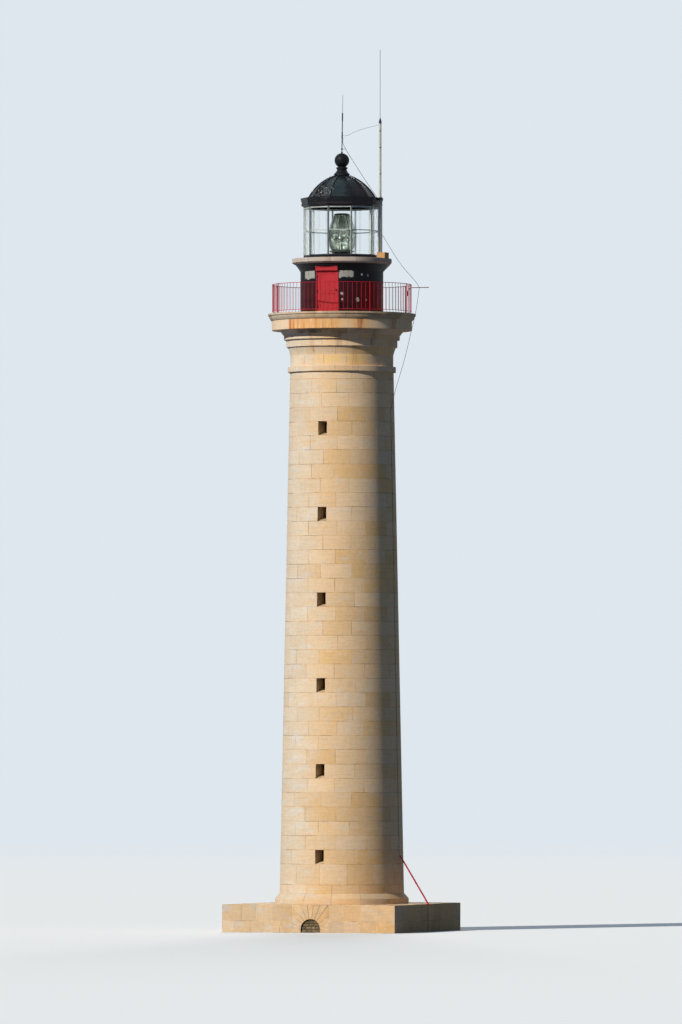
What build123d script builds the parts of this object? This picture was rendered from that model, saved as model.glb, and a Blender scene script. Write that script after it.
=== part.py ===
from build123d import *
import os
from math import acos, asin, cos, degrees, radians, sin, sqrt, tan

# A stone lighthouse on a square plinth, in millimetres.
# +Z is up, the origin is the middle of the plinth's underside, and the
# windows and the gallery door face -Y. Azimuths are in degrees from -Y
# towards +X, so 90 is the +X side.

# Joints between pieces
seat_gap = 0.3            # between pieces that sit against a curved face
loose_fit = 2.0           # round a slab or infill set in a recess
cut_margin = 10           # cutting shapes reach this far past what they cut

# Plinth
plinth_side = 7710
plinth_height = 1150
vent_width = 860          # arched recess in the front face
vent_height = 560
vent_offset = 100
vent_depth = 300
vent_setback = 70         # infill behind the plinth's face

# Entrance at the back, with steps sunk in the plinth
doorway_width = 1000
doorway_height = 2100
step_risers = 6
step_tread = 281
entrance_leaf_thickness = 55
entrance_leaf_setback = 2050   # leaf's inner face from the axis
entrance_leaf_gap = 3
entrance_board_count = 5
entrance_board_groove = 8

# Shaft
bore_radius = 1400
base_band_radius = 2800
base_band_height = 230
base_slope_height = 220
foot_radius = 2604
shaft_top_radius = 2170
course_height = 597
window_width = 380
window_courses = 1
window_count = 6
window_pitch_courses = 6
first_sill = 1680         # above the plinth
sill_rise = 110
sill_run = 350
above_last_window = 2110

# Capital under the gallery
astragal_radius = 2266
astragal_height = 220
neck_radius = 2157
neck_top_radius = 2270
neck_height = 830
neck_straight = 480       # upright part of the neck, below its flare
flare_middle = 0.4        # how far out the flare is at half its height
band_radius = 2330
band_height = 310
fillet_radius = 2430
fillet_height = 175
cavetto_radius = 2600
cavetto_height = 225
cavetto_middle = (0.41, 0.35)   # shares out and up of a point on its curve

# Gallery slab
fascia_radius = 2943
fascia_height = 400
ovolo_foot = 40           # the moulding's foot in front of the fascia
ovolo_foot_height = 25
ovolo_height = 190
ovolo_middle = (0.68, 0.45)     # shares out and up of a point on its curve
lip_radius = 3105
lip_undercut = 40
lip_height = 75

# Service room on the gallery
service_floor_thickness = 180
service_floor_bearing = 150
service_radius = 1741
service_wall = 250
service_height = 1770
hatch_size = 720
hatch_offset = 790        # hatch centre behind the axis
gallery_door_width = 930
door_post_width = 30
door_post_depth = 110
door_post_stand = 20      # posts in front of the wall's edge
gallery_leaf_thickness = 45
gallery_leaf_setback = 15
gallery_leaf_gap = 3
leaf_panel_margin = 110
leaf_panel_sink = 12
leaf_panels = ((0.08, 0.46), (0.52, 0.93))   # feet and heads as shares of the room
door_head_height = 185
door_head_stand = 110
door_head_seat = 40
drip_height = 40
drip_stand = 22

# Cove and ledge under the lantern
cove_radius = 1970
cove_height = 320
cove_middle = (0.41, 0.48)      # shares out and up of a point on its curve
ledge_radius = 2090
ledge_foot_radius = 1990
ledge_thickness = 230
ledge_chamfer_height = 68
ledge_hatch_size = 560
ledge_hatch_offset = 960

# Lantern, ten-sided with a corner at the front
lantern_sides = 10
lantern_radius = 1600
sill_height = 110
sill_projection = 10
sill_thickness = 100
glazing_height = 2073
mullion_width = 50
mullion_depth = 80
transom_height = 40
transom_depth = 40
transom_level = 1045      # underside above the sill
foot_rail_height = 50
head_rail_height = 65
pane_thickness = 10

# Gutter and dome
gutter_foot_radius = 1620
gutter_band_radius = 1710
gutter_waist_radius = 1692
gutter_lip_radius = 1750
gutter_foot_height = 70
gutter_band_height = 60
gutter_waist_height = 30
gutter_flare_height = 217
gutter_plate = 40
gutter_wall = 35
gutter_bearing = 20       # ring beam inside the mullions
clamp_height = 120
clamp_lug_width = 60
dome_arc_radius = 2040    # the ribs' outer arc
dome_arc_offset = 360     # the arc's centre beyond the axis
dome_arc_drop = 937       # the arc's centre below the springing
dome_plate = 20
dome_eye_radius = 300
rib_width = 55
rib_stand = 35

# Finial and lightning rod
finial_flange_radius = 335
finial_flange = 35
finial_neck_radius = 190
finial_neck_height = 200
finial_neck_middle = (0.25, 0.4)   # shares out and up of a point on its curve
finial_ring_radius = 235
finial_ring_height = 80
finial_throat_radius = 170
finial_throat_height = 30
ball_radius = 310
rod_socket_radius = 38
rod_socket_height = 45
rod_radius = 20
rod_length = 1640
rod_tip_radius = 8
rod_tip_length = 730
rod_point = 40
rod_lean = 1.0            # degrees, towards +X
rod_sleeve_radius = 28
rod_sleeves = ((560, 830), (1310, 1640))
rod_clamp_height = 120
rod_clamp_radius = 36
rod_clamp_length = 60
rod_spur_length = 165
rod_spur_radius = 8

# Lens
pedestal_radius = 300
pedestal_height = 300
pedestal_flange_radius = 520
pedestal_flange = 50
pedestal_foot_radius = 400
pedestal_foot = 40
lens_radius = 545
lens_belt_height = 440
lens_bulge = 12
lens_foot_radius = 430
lens_lower_height = 420
lens_lower_prisms = 4
lens_top_radius = 330
lens_upper_height = 660
lens_upper_curve = 1.15
lens_upper_prisms = 6
lens_glass = 60
prism_step = 26
bullseye_radius = 165
bullseye_stand = 30       # in front of the belt
lens_bar_count = 8
lens_bar_turn = 8.5       # first bar from the +X side, in degrees
lens_bar_width = 24
lens_bar_depth = 22
lens_cap_height = 60
lens_cap_top_radius = 220

# Gallery railing
railing_radius = 2920
railing_height = 1250
railing_panels = 8
bays_per_panel = 12
railing_post = 36
baluster_radius = 9
baluster_sides = 6
top_rail_width = 40
top_rail_height = 20
bottom_rail_width = 32
bottom_rail_height = 18
bottom_rail_lift = 95
rail_end_angle = 0.01     # between a rail's end and the next post, in degrees

# Outrigger that holds the conductor off the gallery
arm_level = 180           # below the railing's top
arm_reach = 810           # beyond the gallery's lip
arm_radius = 17
arm_bend = 200
arm_leg = 350
arm_clip_height = 40
arm_clip_width = 44
arm_clip_wall = 6

# Aerial mast on a stone block beside the lantern
block_width = 355
block_depth = 485
block_height = 250
block_margin = 55         # from the ledge's edge
mast_radius = 52
mast_wall = 8
mast_top = 5680           # above the ledge
mast_gap = 10             # from the gutter's lip
clamp_thickness = 28
collar_height = 230
collar_radius = 62
collar_straight = 0.3     # upright share of the collar
whip_radius = 9
whip_top = 8760           # above the ledge

# Lightning conductor down the +X side
conductor_radius = 9
wire_bend = 60
downlead_radius = 16
downlead_gap = 4
downlead_shift = 60       # towards the front
downlead_free = 980       # where the wire leaves it, above the ledge
wire_support = 390        # on the arm, beyond the gallery's lip
wire_to_arm = ((0.523, 0.466), (0.875, 0.883))   # shares down and out
wire_to_wall = ((0.186, 0.115), (0.376, 0.30), (0.588, 0.525), (0.838, 0.838))
gutter_wire_inset = 160
gutter_wire_lift = 45
spur_wire_offset = 25
wire_sideways = 20
mast_wire_thinness = 0.7
mast_wire_bow = (250, 0.45)     # first bend from the rod, second as a share
mast_wire_rises = (20, 220)
mast_wire_end = 60        # below the mast's head
wire_tail = 40
ground_wire_foot = 5
conduit_radius = 24
conduit_gap = 12          # between a conduit's head and the shaft
conduit_top = 2040        # above the plinth
conduit_below_edge = 60
wall_meeting = 20680      # conductor meets the shaft, above the plinth

# Levels worked out from the sizes above
foot_level = plinth_height + base_band_height + base_slope_height
shaft_top = (plinth_height + first_sill + above_last_window
             + (window_count - 1) * window_pitch_courses * course_height
             + window_courses * course_height)
neck_level = shaft_top + astragal_height
band_level = neck_level + neck_height
fillet_level = band_level + band_height
cavetto_level = fillet_level + fillet_height
slab_level = cavetto_level + cavetto_height
ovolo_level = slab_level + fascia_height
lip_level = ovolo_level + ovolo_foot_height + ovolo_height
gallery_level = lip_level + lip_height
service_floor_level = gallery_level - service_floor_thickness
cove_level = gallery_level + service_height
ledge_underside = cove_level + cove_height
ledge_level = ledge_underside + ledge_thickness
glazing_level = ledge_level + sill_height
gutter_level = glazing_level + glazing_height
gutter_band_level = gutter_level + gutter_foot_height
gutter_floor = gutter_band_level + gutter_band_height
gutter_waist_level = gutter_floor + gutter_waist_height
lip_top = gutter_waist_level + gutter_flare_height

doorway_half = doorway_width / 2
window_half = window_width / 2
window_height = window_courses * course_height
floor_seat_radius = bore_radius + service_floor_bearing
service_bore = service_radius - service_wall
side_factor = cos(radians(180 / lantern_sides))   # flat over corner radius
dome_centre = lip_top - dome_arc_drop
dome_radius = (sqrt((dome_arc_radius - rib_stand) ** 2 - dome_arc_drop ** 2)
               - dome_arc_offset)
mast_x = gutter_lip_radius * side_factor + mast_gap + mast_radius

os.makedirs("parts", exist_ok=True)


def save(name, *solids):
    shapes = list(solids)
    part = shapes[0] if len(shapes) == 1 else Compound(children=shapes)
    export_step(part, f"parts/{name}.step")


def shaft_radius(level):
    share = (level - foot_level) / (shaft_top - foot_level)
    return foot_radius + (shaft_top_radius - foot_radius) * share


def half_section(*edges):
    # A closed outline of radius and height, standing in the XZ plane.
    return Plane.XZ * make_face(Curve() + list(edges))


def outline(*points):
    return Plane.XZ * make_face(Polyline(*points, close=True))


def turned(section, start=0, end=360):
    # The section swept from one azimuth to another.
    return Rot(Z=start - 90) * revolve(section, Axis.Z, revolution_arc=end - start)


def block(x_range, y_range, z_range):
    size = [high - low for low, high in (x_range, y_range, z_range)]
    middle = [(high + low) / 2 for low, high in (x_range, y_range, z_range)]
    return Pos(*middle) * Box(*size)


def between(start, end, shares):
    # A point on the way from one point of a half section to another.
    return (start[0] + shares[0] * (end[0] - start[0]), start[1] + shares[1] * (end[1] - start[1]))


def upright(radius, low, high):
    align = (Align.CENTER, Align.CENTER, Align.MIN)
    return Pos(0, 0, low) * Cylinder(radius, high - low, align=align)


def ten_corners(radius):
    return RegularPolygon(radius, lantern_sides, rotation=-90)


def ten_sided(radius, low, high, inner=0):
    plan = ten_corners(radius)
    if inner:
        plan -= ten_corners(inner)
    return Pos(0, 0, low) * extrude(plan, high - low)


def ten_tapered(low_radius, low, high_radius, high):
    return loft([Pos(0, 0, low) * ten_corners(low_radius), Pos(0, 0, high) * ten_corners(high_radius)],
                ruled=True)


def around(shape, count, first=0):
    return [Rot(Z=first + 360 * k / count) * shape for k in range(count)]


def bar(start, end, radius):
    # A round bar between two points.
    axis = Vector(*end) - Vector(*start)
    plane = Plane(origin=start, z_dir=axis.normalized())
    return extrude(plane * Circle(radius), axis.length)


def wire(points, radius, bend=wire_bend):
    # A round wire along straight runs with rounded corners.
    route = FilletPolyline(*points, radius=bend) if len(points) > 2 else Line(*points)
    section = Plane(origin=route @ 0, z_dir=route % 0) * Circle(radius)
    return sweep(section, path=route)


# Plinth with the sunk entrance way and the arched recess

half_side = plinth_side / 2
top_step_y = half_side - (step_risers - 1) * step_tread
riser = plinth_height / step_risers


def vent_outline(clearance):
    half = vent_width / 2 - clearance
    spring = vent_height - vent_width / 2
    sides = Polyline((-half, spring), (-half, 0), (half, 0), (half, spring))
    crown = ThreePointArc((half, spring), (0, spring + half), (-half, spring))
    return Plane.XZ * make_face(Curve() + [sides, crown])


def vent_block(clearance, front, back):
    shape = extrude(vent_outline(clearance), back - front)
    return Pos(vent_offset, back, 0) * shape


plinth = Pos(0, 0, plinth_height / 2) * Box(plinth_side, plinth_side, plinth_height)
plinth -= block((-doorway_half, doorway_half), (top_step_y, half_side), (0, plinth_height))
plinth -= vent_block(0, -half_side, vent_depth - half_side)
save("plinth", plinth)
save("vent_infill", vent_block(loose_fit, vent_setback - half_side, vent_depth - half_side))

step_points = [(top_step_y, 0), (half_side, 0)]
for k in range(step_risers - 1):
    step_points.append((half_side - k * step_tread, (k + 1) * riser))
    step_points.append((half_side - (k + 1) * step_tread, (k + 1) * riser))
step_face = Plane.YZ * make_face(Polyline(*step_points, close=True))
save("entrance_steps", extrude(step_face, doorway_half, both=True))

# Boarded leaf at the back, with grooves between its boards
leaf_half = doorway_half - entrance_leaf_gap
leaf_outer = entrance_leaf_setback + entrance_leaf_thickness
leaf_top = plinth_height + doorway_height - entrance_leaf_gap
leaf = block((-leaf_half, leaf_half), (entrance_leaf_setback, leaf_outer), (plinth_height, leaf_top))
board = 2 * leaf_half / entrance_board_count
for k in range(1, entrance_board_count):
    x = k * board - leaf_half
    groove = (x - entrance_board_groove / 2, x + entrance_board_groove / 2)
    leaf -= block(groove, (leaf_outer - entrance_board_groove, leaf_outer), (plinth_height, leaf_top))
save("entrance_door", leaf)

# Shaft wall in upright sections round the stair well
wall_section = outline(
    (bore_radius, plinth_height),
    (base_band_radius, plinth_height),
    (base_band_radius, plinth_height + base_band_height),
    (foot_radius, foot_level),
    (shaft_top_radius, shaft_top),
    (bore_radius, shaft_top))
reach = base_band_radius + cut_margin
window_strip = block((-window_half, window_half), (-reach, 0), (plinth_height, shaft_top))
door_strip = block((-doorway_half, doorway_half), (0, reach), (plinth_height, shaft_top))
front_wall = turned(wall_section, 0, 45) - window_strip
back_wall = turned(wall_section, 135, 180) - door_strip
save("shaft_front_walls", front_wall, mirror(front_wall, Plane.YZ))
save("shaft_side_walls_front", turned(wall_section, 45, 90), turned(wall_section, -90, -45))
save("shaft_side_walls_back", turned(wall_section, 90, 135), turned(wall_section, -135, -90))
save("shaft_back_walls", back_wall, mirror(back_wall, Plane.YZ))
door_head = plinth_height + doorway_height
lintel_room = block((-doorway_half, doorway_half), (0, reach), (door_head, shaft_top))
save("shaft_over_door", turned(wall_section, 150, 210) & lintel_room)


def window_void(sill):
    face = -shaft_radius(sill)
    points = ((-reach, sill), (face, sill), (face + sill_run, sill + sill_rise),
              (0, sill + sill_rise), (0, sill + window_height), (-reach, sill + window_height))
    return extrude(Plane.YZ * make_face(Polyline(*points, close=True)), window_width, both=True)


window_sills = [plinth_height + first_sill + k * window_pitch_courses * course_height
                for k in range(window_count)]
spandrels = turned(wall_section, -15, 15) & window_strip
for sill in window_sills:
    spandrels -= window_void(sill)
save("shaft_window_strip", *spandrels.solids())

# Capital: astragal, flared neck, flat band and cavetto
neck_flare = (neck_radius, neck_level + neck_straight)
neck_top = (neck_top_radius, band_level)
cavetto_foot = (fillet_radius, cavetto_level)
cavetto_top = (cavetto_radius, slab_level)
capital = turned(half_section(
    Polyline(neck_flare, (neck_radius, neck_level), (astragal_radius, neck_level),
             (astragal_radius, shaft_top), (bore_radius, shaft_top), (bore_radius, slab_level), cavetto_top),
    ThreePointArc(cavetto_top, between(cavetto_foot, cavetto_top, cavetto_middle), cavetto_foot),
    Polyline(cavetto_foot, (fillet_radius, fillet_level), (band_radius, fillet_level),
             (band_radius, band_level), neck_top),
    ThreePointArc(neck_top, between(neck_flare, neck_top, (flare_middle, 0.5)), neck_flare)))
save("capital", capital)

# Gallery slab with a rebate for the service floor
ovolo_start = (fascia_radius + ovolo_foot, ovolo_level + ovolo_foot_height)
ovolo_end = (lip_radius - lip_undercut, lip_level)
slab = turned(half_section(
    Polyline(ovolo_start, (fascia_radius, ovolo_level), (fascia_radius, slab_level),
             (bore_radius, slab_level), (bore_radius, service_floor_level),
             (floor_seat_radius, service_floor_level),
             (floor_seat_radius, gallery_level), (lip_radius, gallery_level), (lip_radius, lip_level),
             ovolo_end),
    ThreePointArc(ovolo_end, between(ovolo_start, ovolo_end, ovolo_middle), ovolo_start)))
save("gallery_slab", slab)


def hatch(size, offset, low, high):
    return block((-size / 2, size / 2), (offset - size / 2, offset + size / 2), (low, high))


service_floor = upright(floor_seat_radius - loose_fit, service_floor_level, gallery_level)
service_floor -= hatch(hatch_size, hatch_offset, service_floor_level, gallery_level)
save("service_floor", service_floor)

# Service room wall, split at the door
opening_half = gallery_door_width / 2 + door_post_width
room_section = outline((service_bore, gallery_level), (service_radius, gallery_level),
                       (service_radius, cove_level), (service_bore, cove_level))
door_room = block((-opening_half, opening_half), (-service_radius - cut_margin, 0),
                  (gallery_level, cove_level))
front_room = turned(room_section, 0, 45) - door_room
save("service_wall_front", front_room, mirror(front_room, Plane.YZ))
save("service_wall_sides", turned(room_section, 45, 135), turned(room_section, -135, -45))
save("service_wall_back", turned(room_section, 135, 225))

# Gallery door: the leaf lies just behind the wall's outer face at the jambs
door_face = -sqrt(service_radius ** 2 - opening_half ** 2)
leaf_half = gallery_door_width / 2 - gallery_leaf_gap
leaf_face = door_face + gallery_leaf_setback
door_leaf = block((-leaf_half, leaf_half), (leaf_face, leaf_face + gallery_leaf_thickness),
                  (gallery_level, cove_level - gallery_leaf_gap))
panel_half = leaf_half - leaf_panel_margin
for low, high in leaf_panels:
    door_leaf -= block((-panel_half, panel_half), (leaf_face, leaf_face + leaf_panel_sink),
                       (gallery_level + low * service_height, gallery_level + high * service_height))
save("gallery_door", door_leaf)

# Door frame: two posts and a head board with a drip along its top
head_face = door_face - door_head_stand
head_back = door_face + door_head_seat
head_top = cove_level + door_head_height
door_frame = block((-opening_half, opening_half), (head_face, head_back), (cove_level, head_top))
door_frame += block((-opening_half, opening_half), (head_face - drip_stand, head_face),
                    (head_top - drip_height, head_top))
post_face = door_face - door_post_stand
for side in (-1, 1):
    post_sides = sorted((side * gallery_door_width / 2, side * opening_half))
    door_frame += block(post_sides, (post_face, post_face + door_post_depth), (gallery_level, cove_level))
save("gallery_door_frame", door_frame)

# Cove and ledge
cove_foot = (service_radius, cove_level)
cove_top = (cove_radius, ledge_underside)
cove = turned(half_section(
    ThreePointArc(cove_foot, between(cove_foot, cove_top, cove_middle), cove_top),
    Polyline(cove_top, (service_bore, ledge_underside), (service_bore, cove_level), cove_foot)))
cove -= block((-opening_half, opening_half), (-cove_radius, head_back), (cove_level, head_top))
save("cove", cove)

ledge = turned(outline((0, ledge_underside), (ledge_foot_radius, ledge_underside),
                       (ledge_radius, ledge_underside + ledge_chamfer_height), (ledge_radius, ledge_level),
                       (0, ledge_level)))
ledge -= hatch(ledge_hatch_size, ledge_hatch_offset, ledge_underside, ledge_level)
save("lantern_ledge", ledge)

# Lantern: sill, mullions at the corners, transoms and panes
save("lantern_sill", ten_sided(lantern_radius + sill_projection, ledge_level, glazing_level,
                               lantern_radius + sill_projection - sill_thickness))
mullion = block((lantern_radius - mullion_depth, lantern_radius), (-mullion_width / 2, mullion_width / 2),
                (glazing_level, gutter_level))
mullions = around(mullion, lantern_sides, -90)
save("lantern_mullions", *mullions)

glass_radius = lantern_radius - mullion_depth / 2
transom_low = glazing_level + transom_level
rail_levels = ((glazing_level, glazing_level + foot_rail_height),
               (transom_low, transom_low + transom_height),
               (gutter_level - head_rail_height, gutter_level))
transoms = [ten_sided(glass_radius + transom_depth / 2, low, high, glass_radius - transom_depth / 2)
            for low, high in rail_levels]
transoms = Part() + transoms
panes = ten_sided(glass_radius + pane_thickness / 2, glazing_level, gutter_level,
                  glass_radius - pane_thickness / 2)
panes -= transoms
for post in mullions:
    transoms -= post
    panes -= post
save("lantern_transoms", *transoms.solids())
save("lantern_panes", *panes.solids())

# Gutter: ring beam on the mullions, trough round the dome's foot and mast clamp
beam_inner = lantern_radius - mullion_depth - gutter_bearing
trough_floor = gutter_floor + gutter_plate
gutter = ten_tapered(gutter_foot_radius, gutter_level, gutter_band_radius, gutter_band_level)
gutter += ten_sided(gutter_band_radius, gutter_band_level, gutter_floor)
gutter += ten_tapered(gutter_band_radius, gutter_floor, gutter_waist_radius, gutter_waist_level)
gutter += ten_tapered(gutter_waist_radius, gutter_waist_level, gutter_lip_radius, lip_top)
clamp_level = lip_top - clamp_height
gutter += Pos(mast_x, 0, 0) * upright(mast_radius + clamp_thickness, clamp_level, lip_top)
gutter += block((gutter_waist_radius * side_factor - gutter_wall, mast_x),
                (-clamp_lug_width / 2, clamp_lug_width / 2), (clamp_level, lip_top))
trough = ten_tapered(gutter_waist_radius - gutter_wall, trough_floor,
                     gutter_lip_radius - gutter_wall, lip_top)
gutter -= trough - ten_sided(dome_radius, trough_floor, lip_top)
gutter -= ten_sided(beam_inner, gutter_level, gutter_floor)
gutter -= ten_sided(dome_radius - gutter_wall, gutter_floor, lip_top)
gutter -= Pos(mast_x, 0, 0) * upright(mast_radius + seat_gap, clamp_level, lip_top)
save("lantern_gutter", gutter)

# Dome: ten gores, each curved one way, with a rib on every seam


def dome_arc(centre_x, x_axis, y_axis):
    # From the springing up to the eye.
    start = degrees(asin(dome_arc_drop / y_axis))
    end = degrees(acos((dome_eye_radius * side_factor - centre_x) / x_axis))
    return EllipticalCenterArc((centre_x, dome_centre), x_axis, y_axis, start, arc_size=end - start)


def dome_section(squeeze, arc_radius, thickness):
    centre_x = -dome_arc_offset * squeeze
    x_axis = arc_radius * squeeze
    outer = dome_arc(centre_x, x_axis, arc_radius)
    inner = dome_arc(centre_x, x_axis - thickness, arc_radius - thickness)
    return half_section(outer, Line(outer @ 1, inner @ 1), inner, Line(inner @ 0, outer @ 0))


gore_radius = dome_arc_radius - rib_stand
wedge_length = dome_radius + cut_margin
half_gore = tan(radians(180 / lantern_sides)) * wedge_length
wedge = Pos(0, 0, lip_top) * extrude(
    make_face(Polyline((0, 0), (wedge_length, -half_gore), (wedge_length, half_gore), close=True)),
    dome_arc_radius)
gore = extrude(dome_section(side_factor, gore_radius, dome_plate), half_gore, both=True) & wedge
rib = extrude(dome_section(1, dome_arc_radius, rib_stand + dome_plate), rib_width / 2, both=True)
gores = around(gore, lantern_sides, 180 / lantern_sides - 90)
ribs = around(rib, lantern_sides, -90)
dome = gores[0].fuse(*gores[1:], *ribs)
save("dome", dome)

# Finial: flange on the dome's eye, neck, ring and ball
eye_angle = acos((dome_eye_radius * side_factor + dome_arc_offset) / dome_arc_radius)
flange_level = dome_centre + dome_arc_radius * sin(eye_angle) + seat_gap
neck_foot = flange_level + finial_flange
ring_level = neck_foot + finial_neck_height
throat_level = ring_level + finial_ring_height
ball_drop = sqrt(ball_radius ** 2 - finial_throat_radius ** 2)
ball_level = throat_level + finial_throat_height + ball_drop
socket_rise = sqrt(ball_radius ** 2 - rod_socket_radius ** 2)
socket_top = ball_level + ball_radius + rod_socket_height
flange_top = (finial_flange_radius, neck_foot)
ring_foot = (finial_neck_radius, ring_level)
throat_top = (finial_throat_radius, throat_level + finial_throat_height)
socket_foot = (rod_socket_radius, ball_level + socket_rise)
finial = turned(half_section(
    Polyline((0, socket_top), (0, flange_level), (finial_flange_radius, flange_level), flange_top),
    ThreePointArc(flange_top, between(ring_foot, (finial_flange_radius, neck_foot), finial_neck_middle),
                  ring_foot),
    Polyline(ring_foot, (finial_ring_radius, ring_level), (finial_ring_radius, throat_level),
             (finial_throat_radius, throat_level), throat_top),
    ThreePointArc(throat_top, (ball_radius, ball_level), socket_foot),
    Polyline(socket_foot, (rod_socket_radius, socket_top), (0, socket_top))))
save("finial", finial)

# Lightning rod: leans a little, with sleeves and a spur for the conductor
rod = outline((0, 0), (rod_radius, 0), (rod_radius, rod_length),
              (rod_tip_radius, rod_length), (rod_tip_radius, rod_length + rod_tip_length),
              (0, rod_length + rod_tip_length + rod_point))
rod = turned(rod)
for low, high in rod_sleeves:
    rod += upright(rod_sleeve_radius, low, high)
rod += Pos(0, 0, rod_clamp_height) * Cylinder(rod_clamp_radius, rod_clamp_length)
rod += bar((0, 0, rod_clamp_height), (rod_spur_length, 0, rod_clamp_height), rod_spur_radius)
rod_base = socket_top + rod_radius * tan(radians(rod_lean)) + seat_gap
rod = Pos(0, 0, rod_base) * Rot(Y=rod_lean) * rod
save("lightning_rod", rod)

# Lens: pedestal, stepped prism rings and the frame round them
flange_foot = ledge_level + pedestal_height
lens_level = flange_foot + pedestal_flange
belt_level = lens_level + lens_lower_height
belt_top = belt_level + lens_belt_height
lens_top = belt_top + lens_upper_height
pedestal = turned(outline((0, ledge_level), (pedestal_foot_radius, ledge_level),
                          (pedestal_foot_radius, ledge_level + pedestal_foot),
                          (pedestal_radius, ledge_level + pedestal_foot), (pedestal_radius, flange_foot),
                          (pedestal_flange_radius, flange_foot), (pedestal_flange_radius, lens_level),
                          (0, lens_level)))
save("lens_pedestal", pedestal)


def lower_radius(share):
    return lens_foot_radius + (lens_radius - lens_foot_radius) * sin(radians(90 * share))


def upper_radius(share):
    return lens_top_radius + (lens_radius - lens_top_radius) * (1 - share ** lens_upper_curve)


lens_points = []
for k in range(lens_lower_prisms):
    low, high = k / lens_lower_prisms, (k + 1) / lens_lower_prisms
    lens_points.append((lower_radius(low) - prism_step, lens_level + low * lens_lower_height))
    lens_points.append((lower_radius(high), lens_level + high * lens_lower_height))
upper_points = []
for k in range(lens_upper_prisms):
    low, high = k / lens_upper_prisms, (k + 1) / lens_upper_prisms
    upper_points.append((upper_radius(low), belt_top + low * lens_upper_height))
    upper_points.append((upper_radius(high) - prism_step, belt_top + high * lens_upper_height))
inner_points = [(upper_points[-1][0] - lens_glass / 2, lens_top), (lens_radius - lens_glass, belt_top),
                (lens_radius - lens_glass, belt_level), (lens_foot_radius - lens_glass, lens_level)]
lens = turned(half_section(
    Polyline(*lens_points),
    ThreePointArc((lens_radius, belt_level), (lens_radius + lens_bulge, (belt_level + belt_top) / 2),
                  (lens_radius, belt_top)),
    Polyline(*upper_points, *inner_points, lens_points[0])))
belt_middle = (belt_level + belt_top) / 2
bullseye = bar((lens_radius - lens_glass, 0, belt_middle), (lens_radius + bullseye_stand, 0, belt_middle),
               bullseye_radius)
bullseye_turn = lens_bar_turn + 180 / lens_bar_count
lens = lens.fuse(*around(bullseye, lens_bar_count, bullseye_turn))
save("lens", lens)

bar_inner = [(lens_points[0][0] + seat_gap, lens_level)]
bar_inner += [(r + seat_gap, z) for r, z in lens_points[1:-2:2]]
bar_inner += [(lens_radius + lens_bulge + seat_gap, z) for z in (belt_level, belt_top)]
bar_inner += [(r + seat_gap, z) for r, z in upper_points[2::2]]
bar_inner += [(upper_points[-1][0] + seat_gap, z) for z in (lens_top, lens_top + lens_cap_height / 2)]
bar_outer = [(r + lens_bar_depth, z) for r, z in reversed(bar_inner)]
lens_bar = extrude(outline(*bar_inner, *bar_outer), lens_bar_width / 2, both=True)
lens_cap = turned(outline((0, lens_top + seat_gap), (bar_outer[0][0], lens_top + seat_gap),
                          (bar_outer[0][0], lens_top + lens_cap_height / 2),
                          (lens_cap_top_radius, lens_top + lens_cap_height),
                          (0, lens_top + lens_cap_height)))
lens_frame = lens_cap.fuse(*around(lens_bar, lens_bar_count, lens_bar_turn))
save("lens_frame", lens_frame)

# Gallery railing in eight panels, each with the post at its start
panel_angle = 360 / railing_panels
post_angle = degrees(asin(railing_post / 2 / railing_radius))
rail_top = gallery_level + railing_height
bottom_rail = gallery_level + bottom_rail_lift


def rail(width, low, high):
    section = outline((railing_radius - width / 2, low), (railing_radius + width / 2, low),
                      (railing_radius + width / 2, high), (railing_radius - width / 2, high))
    return turned(section, 0, panel_angle - post_angle - rail_end_angle)


post_half = railing_post / 2
post = block((-post_half, post_half), (-railing_radius - post_half, -railing_radius + post_half),
             (gallery_level, rail_top))
baluster_height = rail_top - top_rail_height / 2 - bottom_rail
baluster = extrude(RegularPolygon(baluster_radius, baluster_sides), baluster_height)
baluster = Pos(0, -railing_radius, bottom_rail) * baluster
panel = post + rail(top_rail_width, rail_top - top_rail_height, rail_top)
panel += rail(bottom_rail_width, bottom_rail, bottom_rail + bottom_rail_height)
balusters = [Rot(Z=k * panel_angle / bays_per_panel) * baluster for k in range(1, bays_per_panel)]
panel = panel.fuse(*balusters)
for k in range(railing_panels):
    save(f"railing_panel_{k + 1}", Rot(Z=k * panel_angle) * panel)

# Outrigger: a bent tube clipped to the railing's +X post
arm_foot = railing_radius + post_half
arm_z = rail_top - arm_level
leg_x = arm_foot + arm_clip_wall + arm_radius
leg_foot = arm_z - arm_leg
arm_path = [(leg_x, 0, leg_foot), (leg_x, 0, arm_z), (lip_radius + arm_reach, 0, arm_z)]
arm = wire(arm_path, arm_radius, arm_bend)
for level in (leg_foot, arm_z - arm_bend - arm_clip_height):
    arm += block((arm_foot, leg_x + arm_radius + arm_clip_wall), (-arm_clip_width / 2, arm_clip_width / 2),
                 (level, level + arm_clip_height))
save("conductor_arm", arm)

# Stone block, mast tube and whip aerial
block_outer = sqrt(ledge_radius ** 2 - (block_depth / 2) ** 2) - block_margin
save("mast_block", block((block_outer - block_width, block_outer), (-block_depth / 2, block_depth / 2),
                         (ledge_level, ledge_level + block_height)))
mast_foot = ledge_level + block_height
mast_head = ledge_level + mast_top
mast = Pos(mast_x, 0, mast_foot) * extrude(Circle(mast_radius) - Circle(mast_radius - mast_wall),
                                           mast_head - mast_foot)
save("mast", mast)
collar_top = mast_head + collar_height
whip = turned(outline((0, mast_head), (collar_radius, mast_head),
                      (collar_radius, mast_head + collar_height * collar_straight),
                      (whip_radius * 2, collar_top), (whip_radius, collar_top),
                      (whip_radius, ledge_level + whip_top), (0, ledge_level + whip_top)))
save("mast_whip", Pos(mast_x, 0, 0) * whip)

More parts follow.
